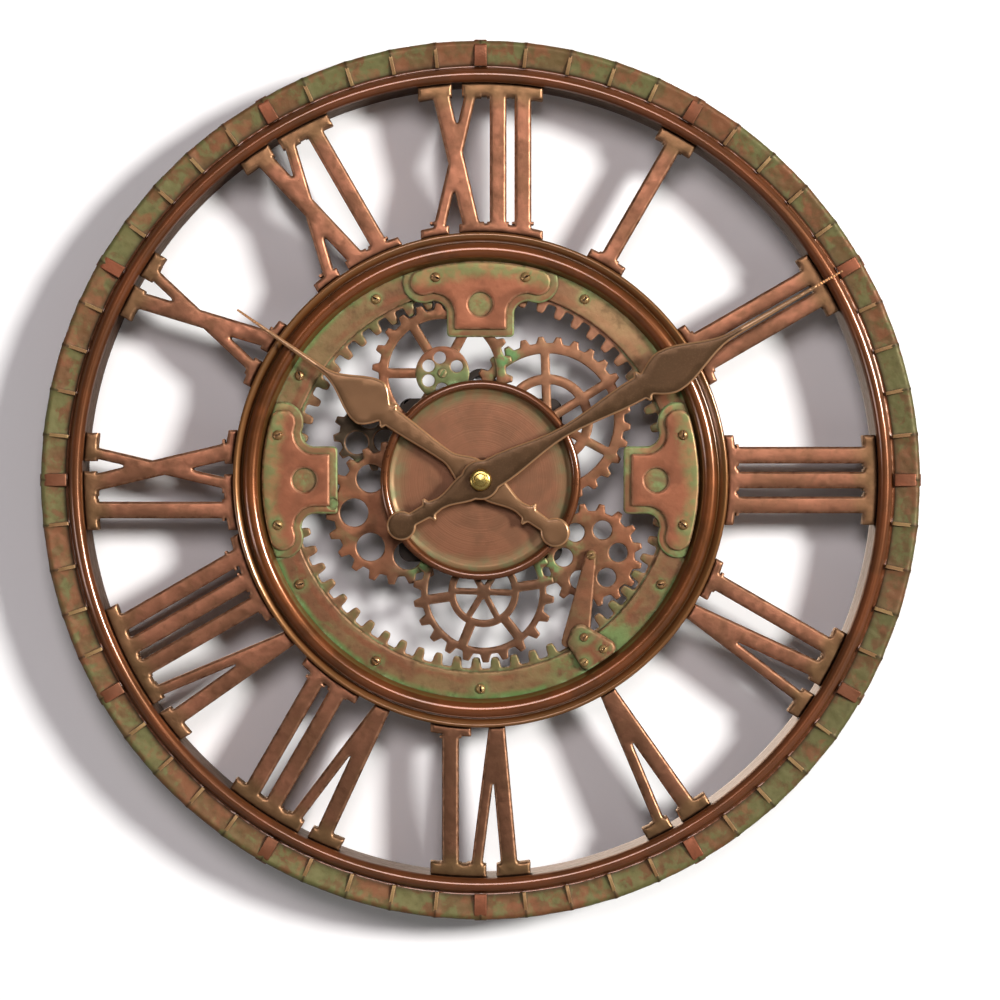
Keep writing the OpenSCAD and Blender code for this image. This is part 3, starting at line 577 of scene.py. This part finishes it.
def lathe(name, section, steps, relief, materials, paint=None):
    """A closed ring from a closed section of (radius, depth, slot) points. relief moves each point
    along the section's normal; paint gives values for colour layers, by name."""
    count = len(section)
    verts, faces, slots = [], [], []
    layers = {}
    for i in range(steps):
        turn = 2 * math.pi * i / steps
        for k, (r, d, slot) in enumerate(section):
            before, after = section[k - 1], section[(k + 1) % count]
            nr, nd = after[1] - before[1], before[0] - after[0]
            size = math.hypot(nr, nd) or 1.0
            lift = relief(r, d, turn, slot)
            rr, dd = r + lift * nr / size, d + lift * nd / size
            verts.append(spot(rr * math.sin(turn), rr * math.cos(turn), dd))
            for layer, value in (paint(r, d, turn, slot) if paint else {}).items():
                layers.setdefault(layer, []).append(value)
    for i in range(steps):
        here, there = i * count, (i + 1) % steps * count
        for k in range(count):
            nxt = (k + 1) % count
            faces.append((here + k, here + nxt, there + nxt, there + k))
            slots.append(section[k][2])
    ring = finished(name, verts, faces, layers)
    for material in materials:
        ring.data.materials.append(material)
    ring.data.polygons.foreach_set("material_index", slots)
    return ring


def hash01(i, salt):
    """A steady value from 0 to 1 for a whole number."""
    return (math.sin(i * 127.1 + salt * 311.7) * 43758.5453) % 1.0


def outlines(node, depth=None, back=False):
    """Outlines of a CAD node's flat faces at a depth: those that look at the viewer, or at the wall.
    Without a depth, the faces nearest the viewer, or the wall. The metal is left of each outline."""
    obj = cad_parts[node]
    mesh = obj.data
    mesh.calc_loop_triangles()
    places = [obj.matrix_world @ v.co for v in mesh.vertices]
    flat = [(*dial_xy(p), (WALL_Y - p.y) / MM) for p in places]
    found = []
    for tri in mesh.loop_triangles:
        a, b, c = (flat[i] for i in tri.vertices)
        area = (b[0] - a[0]) * (c[1] - a[1]) - (b[1] - a[1]) * (c[0] - a[0])
        if max(a[2], b[2], c[2]) - min(a[2], b[2], c[2]) < 0.004 and (area < 0) == back and abs(area) > 1e-9:
            found.append((a[2], (a, c, b) if back else (a, b, c)))
    level = depth if depth is not None else (min if back else max)(d for d, _ in found)
    known = {}

    def merged(p):
        """The point in hundredths of a millimetre, the same for all points closer than that."""
        key = (round(p[0] * 100), round(p[1] * 100))
        for i in (-1, 0, 1):
            for j in (-1, 0, 1):
                for other in known.get((key[0] + i, key[1] + j), ()):
                    if math.dist(other, (p[0] * 100, p[1] * 100)) < 1:
                        return other
        known.setdefault(key, []).append((p[0] * 100, p[1] * 100))
        return known[key][-1]

    edges = set()
    for d, corners in found:
        if abs(d - level) < 0.02:
            keys = [merged(p) for p in corners]
            edges.update((keys[k], keys[k - 2]) for k in range(3) if keys[k] != keys[k - 2])
    edges = {(p, q) for p, q in edges if (q, p) not in edges}
    ends = {p for edge in edges for p in edge}
    parts = set()
    for p, q in edges:
        run, size = (q[0] - p[0], q[1] - p[1]), math.dist(p, q)
        on = []
        for e in ends:
            t = ((e[0] - p[0]) * run[0] + (e[1] - p[1]) * run[1]) / size ** 2
            off = abs((e[0] - p[0]) * run[1] - (e[1] - p[1]) * run[0]) / size
            if 0 < t < 1 and off < 1 and e not in (p, q):
                on.append((t, e))
        stops = [p] + [e for _, e in sorted(on)] + [q]
        parts.update(zip(stops, stops[1:]))
    parts = [(p, q) for p, q in sorted(parts) if (q, p) not in parts]
    starts, stops = [p for p, _ in parts], [q for _, q in parts]
    loose = [p for p in set(starts) if starts.count(p) > stops.count(p)]
    for q in sorted(set(stops)):
        if stops.count(q) > starts.count(q) and loose:
            nearest = min(loose, key=lambda p: math.dist(p, q))
            loose.remove(nearest)
            parts.append((q, nearest))
    follow = {}
    for p, q in parts:
        follow.setdefault(p, []).append(q)
    loops = []
    while follow:
        first = here = next(iter(follow))
        loop = []
        while here in follow:
            stop = follow[here].pop()
            if not follow[here]:
                del follow[here]
            loop.append((here[0] / 100, here[1] / 100))
            here = stop
        if here == first and len(loop) > 2:
            loops.append(loop)
    return loops


def soften(loop, convex, concave):
    """An outline without its needless points, and with its corners rounded."""
    def turn(a, b, c):
        u, v = (b[0] - a[0], b[1] - a[1]), (c[0] - b[0], c[1] - b[1])
        return math.degrees(math.atan2(u[0] * v[1] - u[1] * v[0], u[0] * v[0] + u[1] * v[1]))
    loop = [p for k, p in enumerate(loop) if math.dist(p, loop[k - 1]) > 0.01]
    loop = [p for k, p in enumerate(loop) if abs(turn(loop[k - 1], p, loop[(k + 1) % len(loop)])) > 0.8]
    out = []
    for k, p in enumerate(loop):
        a, c = loop[k - 1], loop[(k + 1) % len(loop)]
        bend = turn(a, p, c)
        if abs(bend) < 24:
            out.append(p)
            continue
        radius = convex if bend > 0 else concave
        cut = min(radius * math.tan(math.radians(min(abs(bend), 150)) / 2), 0.45 * math.dist(a, p),
                  0.45 * math.dist(p, c))
        start = [p[i] + (a[i] - p[i]) * cut / math.dist(a, p) for i in (0, 1)]
        stop = [p[i] + (c[i] - p[i]) * cut / math.dist(p, c) for i in (0, 1)]
        steps = max(2, round(abs(bend) / 18))
        for n in range(steps + 1):
            t = n / steps
            out.append(tuple((1 - t) ** 2 * start[i] + 2 * t * (1 - t) * p[i] + t * t * stop[i] for i in (0, 1)))
    return out


def spaced(loop, step):
    """An outline with its long sides divided."""
    out = []
    for k, p in enumerate(loop):
        q = loop[(k + 1) % len(loop)]
        n = max(1, math.ceil(math.dist(p, q) / step))
        out += [(p[0] + (q[0] - p[0]) * i / n, p[1] + (q[1] - p[1]) * i / n) for i in range(n)]
    return out


BATCH = 400  # points compared with all lines at a time
FAR = 1e9
TINY = 1e-12


def reach(points, a, b):
    """Each point's distance to the nearest of the lines from a to b."""
    best = np.full(len(points), FAR)
    line = b - a
    size = np.maximum((line ** 2).sum(1), TINY)
    for k in range(0, len(points), BATCH):
        away = points[k:k + BATCH, None, :] - a[None]
        t = np.clip((away * line).sum(2) / size, 0, 1)
        gap = away - t[..., None] * line
        best[k:k + BATCH] = np.sqrt((gap ** 2).sum(2).min(1))
    return best


def within(points, a, b):
    """True for the points inside the outlines made of the lines from a to b."""
    inside = np.zeros(len(points), bool)
    rise = b[:, 1] - a[:, 1]
    rise = np.where(np.abs(rise) < TINY, TINY, rise)
    for k in range(0, len(points), BATCH):
        x, y = points[k:k + BATCH, 0:1], points[k:k + BATCH, 1:2]
        spans = (a[:, 1] > y) != (b[:, 1] > y)
        at = a[:, 0] + (y - a[:, 1]) * (b[:, 0] - a[:, 0]) / rise
        inside[k:k + BATCH] = (spans & (x < at)).sum(1) % 2 == 1
    return inside


def filled(points, links, a, b):
    """Triangles inside the outlines: their points, the triangles, and which given points each point stands for."""
    flat, _, tris, origin, _, _ = delaunay_2d_cdt(points, links, [], 0, 1e-5)
    flat, tris = np.array([tuple(p) for p in flat]), np.array(tris)
    return flat, tris[within(flat[tris].mean(1), a, b)], origin


SHOULDER_ROWS = (0.13, 0.5, 1.0)  # rows of points on a shoulder, as shares of its width
PITCH = 2.4  # between the points of a layer's open face
ROW_HEIGHT = PITCH * 0.87
SCREW_ROWS = ((1.2, 8), (2.0, 12), (3.0, 16), (4.2, 20))  # radius and count of the points round a screw
HALO_R = 3.4
SAME = 0.22  # inner points closer than about this are merged


class Casting:
    """A piece built of flat layers with rounded upper edges, as a mould leaves them."""

    def __init__(self, node, screws=()):
        self.node = node
        self.screws = screws
        self.verts, self.faces, self.rub = [], [], []

    def layer(self, loops, low, high, shoulder, drop, convex=0.5, concave=0.8, step=1.0, wave=0.05, rounded=None):
        """Adds a layer from depth low to high. Its upper edge falls by drop over the width shoulder, only
        where rounded says so if it is given. wave is how far its face is from flat."""
        loops = [spaced(soften(loop, convex, concave), step) for loop in loops]
        rim, links = [], []
        for loop in loops:
            first = len(rim)
            rim += loop
            links += [(first + k, first + (k + 1) % len(loop)) for k in range(len(loop))]
        rim = np.array(rim)
        a, b = rim[[i for i, _ in links]], rim[[j for _, j in links]]
        along = (b - a) / np.maximum(np.linalg.norm(b - a, axis=1), 1e-9)[:, None]
        inward = np.stack([-along[:, 1], along[:, 0]], 1)
        soft = np.array([rounded is None or rounded(*m) for m in (a + b) / 2])
        inner = []
        for share in SHOULDER_ROWS:
            rows = (a + b) / 2 + inward * shoulder * share
            inner.append(rows[(reach(rows, a, b) > shoulder * share * 0.93) & within(rows, a, b)])
        corner, size = rim.min(0), rim.max(0) - rim.min(0)
        grid = np.array([(corner[0] + PITCH * (i + 0.5 * (j % 2)), corner[1] + ROW_HEIGHT * j)
                         for j in range(int(size[1] / ROW_HEIGHT) + 1) for i in range(int(size[0] / PITCH) + 1)])
        grid = grid[reach(grid, a, b) > shoulder + 0.6]
        inner.append(grid[within(grid, a, b)])
        if self.screws:
            rows = np.array([p for x, y in self.screws for r, n in SCREW_ROWS for p in circle(r, n, x, y)])
            rows = rows[reach(rows, a, b) > shoulder + 0.3]
            inner.append(rows[within(rows, a, b)])
        seen, kept = set(), []
        for p in np.concatenate(inner):
            key = (round(p[0] / SAME), round(p[1] / SAME))
            if key not in seen:
                seen.add(key)
                kept.append(p)
        outer = [Vector(p) for p in rim]
        flat, tris, origin = filled(outer + [Vector(p) for p in kept], links, a, b)
        away = reach(flat, a[soft], b[soft]) if soft.any() else np.full(len(flat), FAR)
        t = np.clip(away / shoulder, 0, 1)
        fall = drop * (1 - np.sqrt(1 - (1 - t) ** 2))
        base = len(self.verts)
        for (x, y), f, share in zip(flat, fall, t):
            uneven = wave * noise.noise(Vector((x * 0.22, y * 0.22, high))) * min(1.0, share)
            self.verts.append(spot(x, y, high - f + uneven))
            self.rub.append(max(0.0, 1 - share))
        self.faces += [tuple(int(base + i) for i in tri) for tri in tris]
        place = {i: k for k, group in enumerate(origin) for i in group}
        foot = {}
        for i, _ in links:
            k = place[i]
            if k not in foot:
                foot[k] = len(self.verts)
                self.verts.append(spot(*flat[k], low))
                self.rub.append(0.0)
        for i, j in links:
            i, j = place[i], place[j]
            if i != j:
                self.faces.append((base + j, base + i, foot[i], foot[j]))
        _, tris, origin = filled(outer, links, a, b)
        back = {k: foot[place[group[0]]] for k, group in enumerate(origin) if group}
        self.faces += [tuple(back[int(i)] for i in reversed(tri)) for tri in tris if all(int(i) in back for i in tri)]

    def post(self, top):
        """Adds the part of the node that stands nearest the wall, up to a depth."""
        low = span(self.node)[0]
        self.layer(outlines(self.node, low, back=True), low, top, 0.2, 0.0)

    def take_place(self, material, body="root"):
        """Makes the object, its rubbed edges and the halos round its screws as colour layers, in place of the node."""
        layers = {"rub": self.rub}
        if self.screws:
            away = [min(math.dist(dial_xy(v), q) for q in self.screws) for v in self.verts]
            layers["halo"] = [max(0.0, 1 - r / HALO_R) ** 0.7 for r in away]
        piece = finished(self.node + "_cast", self.verts, self.faces, layers)
        piece.data.set_sharp_from_angle(angle=math.radians(50))
        piece.data.materials.append(material)
        put_in(piece, body, self.node)


def middles(node, holes=False):
    """The middles of a node's separate screw heads, or of the holes in its front."""
    found = []
    for loop in outlines(node):
        if holes and area_of(loop) > 0:
            continue
        x, y = sum(p[0] for p in loop) / len(loop), sum(p[1] for p in loop) / len(loop)
        if all(math.dist((x, y), p) > 2.0 for p in found):
            found.append((x, y))
    return found


def put_in(piece, body, node):
    """Puts a piece on its body in place of a CAD node."""
    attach(piece, body)
    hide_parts(node)


def cast(node, material, shoulder, drop, body="root", convex=0.5, concave=0.8, wave=0.05):
    """Stands in for a flat node with the same outline, its upper edges and its corners rounded."""
    back, front = span(node)
    piece = Casting(node)
    piece.layer(outlines(node), back, front, shoulder, drop, convex, concave, wave=wave)
    piece.take_place(material, body)


def area_of(loop):
    """An outline's area: above 0 round metal, below 0 round a hole."""
    return sum(p[0] * q[1] - p[1] * q[0] for p, q in zip(loop, loop[1:] + loop[:1])) / 2


def cast_bracket(side, material):
    """A bracket: a green layer below, a copper layer above it with a hole, and on the left one a short post."""
    node = "bracket_" + side
    back, top = span(node)
    foot = span("bracket_top")[0]
    middle = foot + (top - foot) / 2.3
    piece = Casting(node, middles("bracket_screws") + middles(node, holes=True))
    lower = [loop for loop in outlines(node, foot, back=True) if area_of(loop) > 0]
    piece.layer(lower, foot, middle, 0.7, 0.5, 1.8, 1.4)
    piece.layer(outlines(node, top), middle - 0.1, top, 0.9, 0.7, 0.8, 1.4)
    if back < foot - 0.1:
        piece.post(foot + 0.2)
    piece.take_place(material)


def circle(radius, steps=180, x=0.0, y=0.0, start=0.0, stop=360.0):
    """Points on a circle, or on a part of one, without its last point."""
    return [(x + radius * math.cos(a), y + radius * math.sin(a))
            for a in [math.radians(start + (stop - start) * i / steps) for i in range(steps)]]


def cast_ring(material):
    """The ring plate: a flat ring, and a step below its inner edge that carries the teeth."""
    node = "ring_gear"
    back, top = span(node)
    tooth_back, tooth_top = back + 0.6, top - 1.5
    root = min(math.hypot(*p) for loop in outlines(node, back, back=True) for p in loop)
    piece = Casting(node, middles("ring_screws"))
    piece.layer(outlines(node, top), back, top, 0.7, 0.45, rounded=lambda x, y: math.hypot(x, y) < 70)
    teeth = sorted((math.atan2(y, x), math.hypot(x, y)) for loop in outlines(node, tooth_back, back=True)
                   for x, y in loop if math.hypot(x, y) < root - 0.1)
    bore = []
    for k, (turn, r) in enumerate(teeth):
        bore.append((r * math.cos(turn), r * math.sin(turn)))
        gap = (teeth[(k + 1) % len(teeth)][0] - turn) % (2 * math.pi)
        if gap > math.radians(2):
            turns = [turn + gap * t for t in (0.12, 0.36, 0.64, 0.88)]
            bore += [(root * math.cos(t), root * math.sin(t)) for t in turns]
    piece.layer([circle(root + 2.4), bore[::-1]], tooth_back, tooth_top, 0.7, 0.5, 0.8, 0.7, step=0.8,
                rounded=lambda x, y: math.hypot(x, y) < root + 1)
    piece.take_place(material)


def cast_click(plate_mat, lever_mat):
    """The shield over the lever's end, and the lever with its short post."""
    back, top = span("pawl_plate")
    ceiling = span("pawl_lever")[1]
    piece = Casting("pawl_plate", middles("pawl_screws"))
    piece.layer(outlines("pawl_plate"), ceiling, top, 1.3, 0.9, wave=0.1)
    piece.post(ceiling + 0.1)
    piece.take_place(plate_mat)
    piece = Casting("pawl_lever")
    piece.layer(outlines("pawl_lever"), back, ceiling, 0.8, 0.5)
    piece.post(back + 0.2)
    piece.take_place(lever_mat)


def cast_disc(material):
    """The pierced disc over the upper left wheel, with the slotted screw in its middle."""
    seat = span("wheel_upper_left")[1]
    face = seat + 0.35
    piece = Casting("pinion_disc")
    rims = [loop for loop in outlines("pinion_disc", face) if area_of(loop) > 0 or abs(area_of(loop)) > 12]
    piece.layer(rims, seat, face, 0.4, 0.3)
    piece.post(seat + 0.1)
    low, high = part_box("wheel_upper_left")
    x, y = ((low.x + high.x) / 2 - CENTRE.x) / MM, ((low.z + high.z) / 2 - CENTRE.z) / MM
    piece.layer([circle(1.6, 24, x, y)], face - 0.1, face + 0.55, 0.3, 0.2, step=0.4)
    for start in (72, 252):
        piece.layer([circle(1.45, 14, x, y, start, start + 166)], face + 0.4, face + 0.87, 1.1, 0.4, 0.1, step=0.3)
    piece.take_place(material)


TILES = 60
BEAD_OUT = CLOCK_R - 9.5  # where the bead meets the tiles
BEAD_WIDTH = 4.8
TILE_IN, TILE_OUT = BEAD_OUT + 1.2, CLOCK_R - 1.2
TILE_SLOT, BEAD_SLOT, WALL_SLOT = 0, 1, 2  # the rim's materials


def tile_at(r, turn):
    """The tile's number, the place along it from 0 to 1, and across it from 0 at the bead to 1."""
    tile = turn / (2 * math.pi) * TILES
    across = min(1.0, max(0.0, (r - TILE_IN) / (TILE_OUT - TILE_IN)))
    return int(tile) % TILES, tile % 1.0, across


def around(r, d, turn):
    """A place on a ring, for noise to vary over."""
    return Vector((r * math.sin(turn), r * math.cos(turn), d))


def rim_relief(r, d, turn, slot):
    """Dented tiles, each tilted its own way and lower along its sides; the rest of the rim only slightly uneven."""
    place = around(r, d, turn)
    if slot != TILE_SLOT:
        return 0.05 * noise.noise(place * 0.06)
    wave = 0.10 * noise.noise(place * 0.16) + 0.035 * noise.noise(place * 0.9)
    index, u, across = tile_at(r, turn)
    rise = 0.14 * (hash01(index, 1) - 0.5) + 0.26 * (hash01(index, 2) - 0.5) * (u - 0.5)
    crown = -0.34 * abs(2 * u - 1) ** 7 - 0.22 * (1 - across) ** 6 - 0.18 * across ** 8
    on_top = min(1.0, max(0.0, (d - RIM_TOP + 2.2) / 1.4))
    return wave + (rise + crown + 0.12 * noise.noise(place * 0.45)) * on_top


def rim_paint(r, d, turn, slot):
    """Each tile's own tone, and the dark lines along its sides and beside the bead."""
    index, u, across = tile_at(r, turn)
    on_front = slot == TILE_SLOT and d > RIM_TOP - 3
    line = max(abs(2 * u - 1) ** 14, (1 - across) ** 10) if on_front else 0.0
    return {"tile_tone": hash01(index, 3), "tile_line": line}


def rim_section():
    """The rim's section, clockwise from the back: outer wall, tiled band, bead, inner wall."""
    r0, wall_in = CLOCK_R, BEAD_OUT - BEAD_WIDTH
    back = [(wall_in + 0.4, 0.0), (wall_in + 4, 0.0), (r0 - 4, 0.0)]
    band = arc(r0 - 0.8, 0.8, 0.8, -90, 0, 4) + [(r0, d) for d in (6, 12, 17)]
    band += arc(r0 - 1.8, RIM_TOP - 1.9, 1.8, 0, 90, 8)
    start, stop, steps = (r0 - 1.9, RIM_TOP - 0.1), (BEAD_OUT + 1.0, RIM_TOP - 1.0), 12
    band += [tuple(start[j] + (stop[j] - start[j]) * i / steps for j in (0, 1)) for i in range(1, steps + 1)]
    bead = [(BEAD_OUT + 0.35, RIM_TOP - 1.3)]
    bead += arc((wall_in + BEAD_OUT) / 2, RIM_TOP - 0.6, 2.4, 4, 176, 16, 2.9)
    wall = [(wall_in, d) for d in (RIM_TOP - 2.4, RIM_TOP - 4.6, 14, 9, 4, 0.4)]
    parts = ((back, WALL_SLOT), (band, TILE_SLOT), (bead, BEAD_SLOT), (wall, WALL_SLOT))
    return [(r, d, slot) for points, slot in parts for r, d in points][::-1]


def bezel_relief(r, d, turn, slot):
    return 0.06 * noise.noise(around(r, d, turn) * 0.05)


def bezel_section():
    """The bezel's section: outer lip, groove, main roll, and the slope down to the ring plate."""
    r0, top = BEZEL_R, BEZEL_TOP
    r_in, plate_top = radius_of("ring_gear"), span("ring_gear")[1]
    pts = arc(r0 - 1.2, BEZEL_BACK + 1.2, 1.2, -90, 0, 4) + [(r0, 14), (r0, 19)]
    pts += arc(r0 - 0.85, top - 2.75, 0.85, 0, 110, 9)
    pts += [(r0 - 1.9, top - 2.5), (r0 - 2.7, top - 3.1), (r0 - 3.0, top - 3.3), (r0 - 3.35, top - 3.3)]
    pts += arc(r0 - 6.1, top - 2.7, 2.7, 4, 166, 20)
    pts += [(r0 - 8.95, top - 2.9), (r0 - 9.3, plate_top + 0.9)]
    pts += [(r_in + 0.02, d) for d in (plate_top + 0.35, 17, 12, BEZEL_BACK + 0.5)] + [(r_in + 0.6, BEZEL_BACK)]
    return [(r, d, 0) for r, d in pts][::-1]


def cup_section():
    """The cup's section: underside, outer wall, rolled lip, and the hollow down to its slightly domed floor."""
    top = span("centre_cup")[1]
    floor_z = span("centre_spacer")[1]
    floor_top = floor_z + 1.2
    bore = 4.05
    lip = CUP_R - 1.45
    pts = [(bore, floor_z), (12, floor_z), (24, floor_z)]
    pts += arc(CUP_R - 1.0, floor_z + 1.0, 1.0, -90, 0, 4) + [(CUP_R, floor_z + 2.0)]
    pts += arc(lip, top - 1.3, 1.45, -10, 180, 18, 1.3)
    pts += [(lip - 1.5, top - 1.9), (lip - 1.9, floor_top + 0.75), (lip - 2.6, floor_top + 0.2)]
    floor_r, dome = lip - 3.6, 0.55
    pts += [(floor_r, floor_top)]
    pts += [(r, floor_top + dome * (1 - (r / floor_r) ** 2)) for r in (lip - 6, 24, 20, 16, 12, 8, bore)]
    return [(r, d, 0) for r, d in pts][::-1]


def cup_relief(r, d, turn, slot):
    return 0.05 * noise.noise(around(r, d, turn) * 0.15) if r > 20 else 0.0


WELD_REACH = 2e-6
SHARP = math.radians(32)


def dress(material, bevel_mm, *nodes, segments=2):
    """Gives CAD nodes their material, and softens their sharp edges."""
    for node in nodes:
        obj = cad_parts[node]
        obj.data.materials.clear()
        obj.data.materials.append(material)
        if "custom_normal" in obj.data.attributes:
            obj.data.attributes.remove(obj.data.attributes["custom_normal"])
        obj.modifiers.new("weld", "WELD").merge_threshold = WELD_REACH
        if not bevel_mm:
            continue
        obj.data.polygons.foreach_set("use_smooth", [True] * len(obj.data.polygons))
        bevel = obj.modifiers.new("bevel", "BEVEL")
        bevel.width = bevel_mm * MM
        bevel.segments = segments
        bevel.limit_method = "ANGLE"
        bevel.angle_limit = SHARP
        bevel.use_clamp_overlap = False
        bevel.harden_normals = True
        bevel.miter_outer = "MITER_ARC"


def main():
    """The stage, then a material for each surface, the castings, and the CAD nodes that keep their shapes."""
    make_stage()
    make_camera()
    make_lights()
    make_world()

    tile_mat = patina("tile_bronze", srgb(98, 80, 48), srgb(104, 72, 44), green=0.16, metal=0.2, rough=0.5,
                      tint=tile_tint)
    ridge_mat = patina("ridge_bronze", srgb(138, 112, 72), srgb(126, 94, 60), green=0.12, metal=0.3, rough=0.40,
                       edges="shape")
    block_mat = patina("block_red", srgb(130, 74, 50), srgb(112, 68, 46), green=0.12, metal=0.45, edges="shape")
    bead_mat = patina("bead_copper", srgb(112, 70, 46), srgb(98, 64, 42), green=0.02, dark=0.6, metal=0.4,
                      rough=0.30, worn=0.0, grit=0.15, coat=1.0)
    wall_mat = patina("inner_bronze", srgb(96, 70, 56), srgb(84, 60, 48), green=0.1, metal=0.5)
    copper_mat = patina("numeral_copper", srgb(148, 99, 75), srgb(122, 83, 61), BROWN, green=0.1, metal=0.8,
                        rough=0.40, tint=numeral_tint, grit=0.9)
    bezel_mat = patina("bezel_copper", srgb(120, 74, 44), srgb(94, 60, 34), green=0.02, dark=0.4, metal=0.45,
                       rough=0.30, worn=0.0, tint=bezel_tint, grit=0.2, coat=1.0)
    plate_mat = patina("plate_green", srgb(122, 100, 66), srgb(112, 76, 52), srgb(96, 104, 60), green=0.5, metal=0.35,
                       rough=0.44, tint=plate_tint, grit=1.3)
    wheel_mat = patina("wheel_copper", srgb(134, 86, 60), srgb(112, 76, 52), OLIVE, green=0.16, metal=0.5,
                       tint=wheel_tint)
    disc_mat = patina("disc_green", srgb(100, 116, 72), srgb(104, 92, 58), green=0.5, metal=0.3, tint=disc_tint)
    # painted shade: the small wheel gets a darker copy of the wheels' copper
    shaded_wheel_mat = patina("wheel_shaded", srgb(62, 50, 34), srgb(50, 42, 30), green=0.3, metal=0.4)
    screw_mat = patina("screw_brass", srgb(176, 146, 96), srgb(156, 120, 80), green=0.2, metal=0.6, rough=0.32,
                       edges="shape")
    click_mat = patina("pawl_copper", srgb(122, 76, 52), srgb(104, 94, 60), green=0.5, metal=0.4)
    cup_mat = turned_cup()
    minute_mat = hand_paint("minute_paint", srgb(78, 56, 36), srgb(72, 52, 33))
    hour_mat = hand_paint("hour_paint", srgb(114, 84, 58), srgb(98, 72, 48))
    bracket_mat = two_tone("bracket_two_tone", span("bracket_top")[1] - 1.3)
    brass = metal("nut_brass", srgb(206, 180, 104), 0.26)
    steel = metal("steel", srgb(190, 190, 196), 0.3)
    black = plastic("case_black", srgb(24, 24, 27), 0.5)
    acetal = plastic("acetal", srgb(226, 222, 208), 0.35, 0.05)
    wire = metal("coil_wire", srgb(186, 104, 56), 0.35, 0.6, 0.7)
    board = plastic("board_green", srgb(34, 96, 58), 0.4)

    rim = lathe("outer_rim_cast", rim_section(), 1440, rim_relief, (tile_mat, bead_mat, wall_mat), rim_paint)
    put_in(rim, "root", "outer_rim")
    bezel = lathe("bezel_cast", bezel_section(), 720, bezel_relief, (bezel_mat,))
    put_in(bezel, "root", "bezel")
    cup = lathe("centre_cup_turned", cup_section(), 360, cup_relief, (cup_mat,))
    put_in(cup, "root", "centre_cup")

    for h in range(1, 13):
        cast(f"numeral_{h:02d}", copper_mat, 1.1, 0.8, wave=0.12)
    for side in ("top", "right", "left"):
        cast_bracket(side, bracket_mat)
    cast_ring(plate_mat)
    cast_click(click_mat, wheel_mat)
    cast_disc(disc_mat)
    for name in ("lower_right", "bottom", "upper_right", "upper_left", "left"):
        cast(f"wheel_{name}", wheel_mat, 0.6, 0.45, convex=0.6, concave=0.7)
    cast("wheel_small", shaded_wheel_mat, 0.6, 0.45)
    cast("hour_hand", hour_mat, 1.1, 0.7, "hour_group", 0.4, 0.6, 0.0)
    cast("minute_hand", minute_mat, 1.1, 0.7, "minute_group", 0.4, 0.6, 0.0)

    dress(ridge_mat, 0.3, "minute_ridges")
    dress(block_mat, 0.45, "hour_blocks")
    dress(screw_mat, 0.12, "bracket_screws", "ring_screws", "pawl_screws", segments=1)
    dress(black, 0.2, "centre_spacer")
    dress(black, 0.3, "case_front", "case_rear")
    dress(black, 0.1, "chip_cover")
    dress(brass, 0.1, "fixing_washer", "threaded_bush")
    dress(brass, 0.25, "fixing_nut")
    dress(brass, 0.12, "hand_nut")
    dress(brass, 0.05, "clutch_spring", segments=1)
    dress(acetal, 0, "hour_wheel", "centre_wheel", "third_wheel", "seconds_wheel", "intermediate_wheel",
          "setting_wheel")
    dress(steel, 0, "minute_arbor", "rotor", "stator", "contact_positive", "contact_negative")
    dress(steel, 0.1, "quartz_crystal")
    dress(wire, 0.1, "coil")
    dress(board, 0.08, "circuit_board")
    dress(cell_sleeve(), 0.3, "battery")


main()
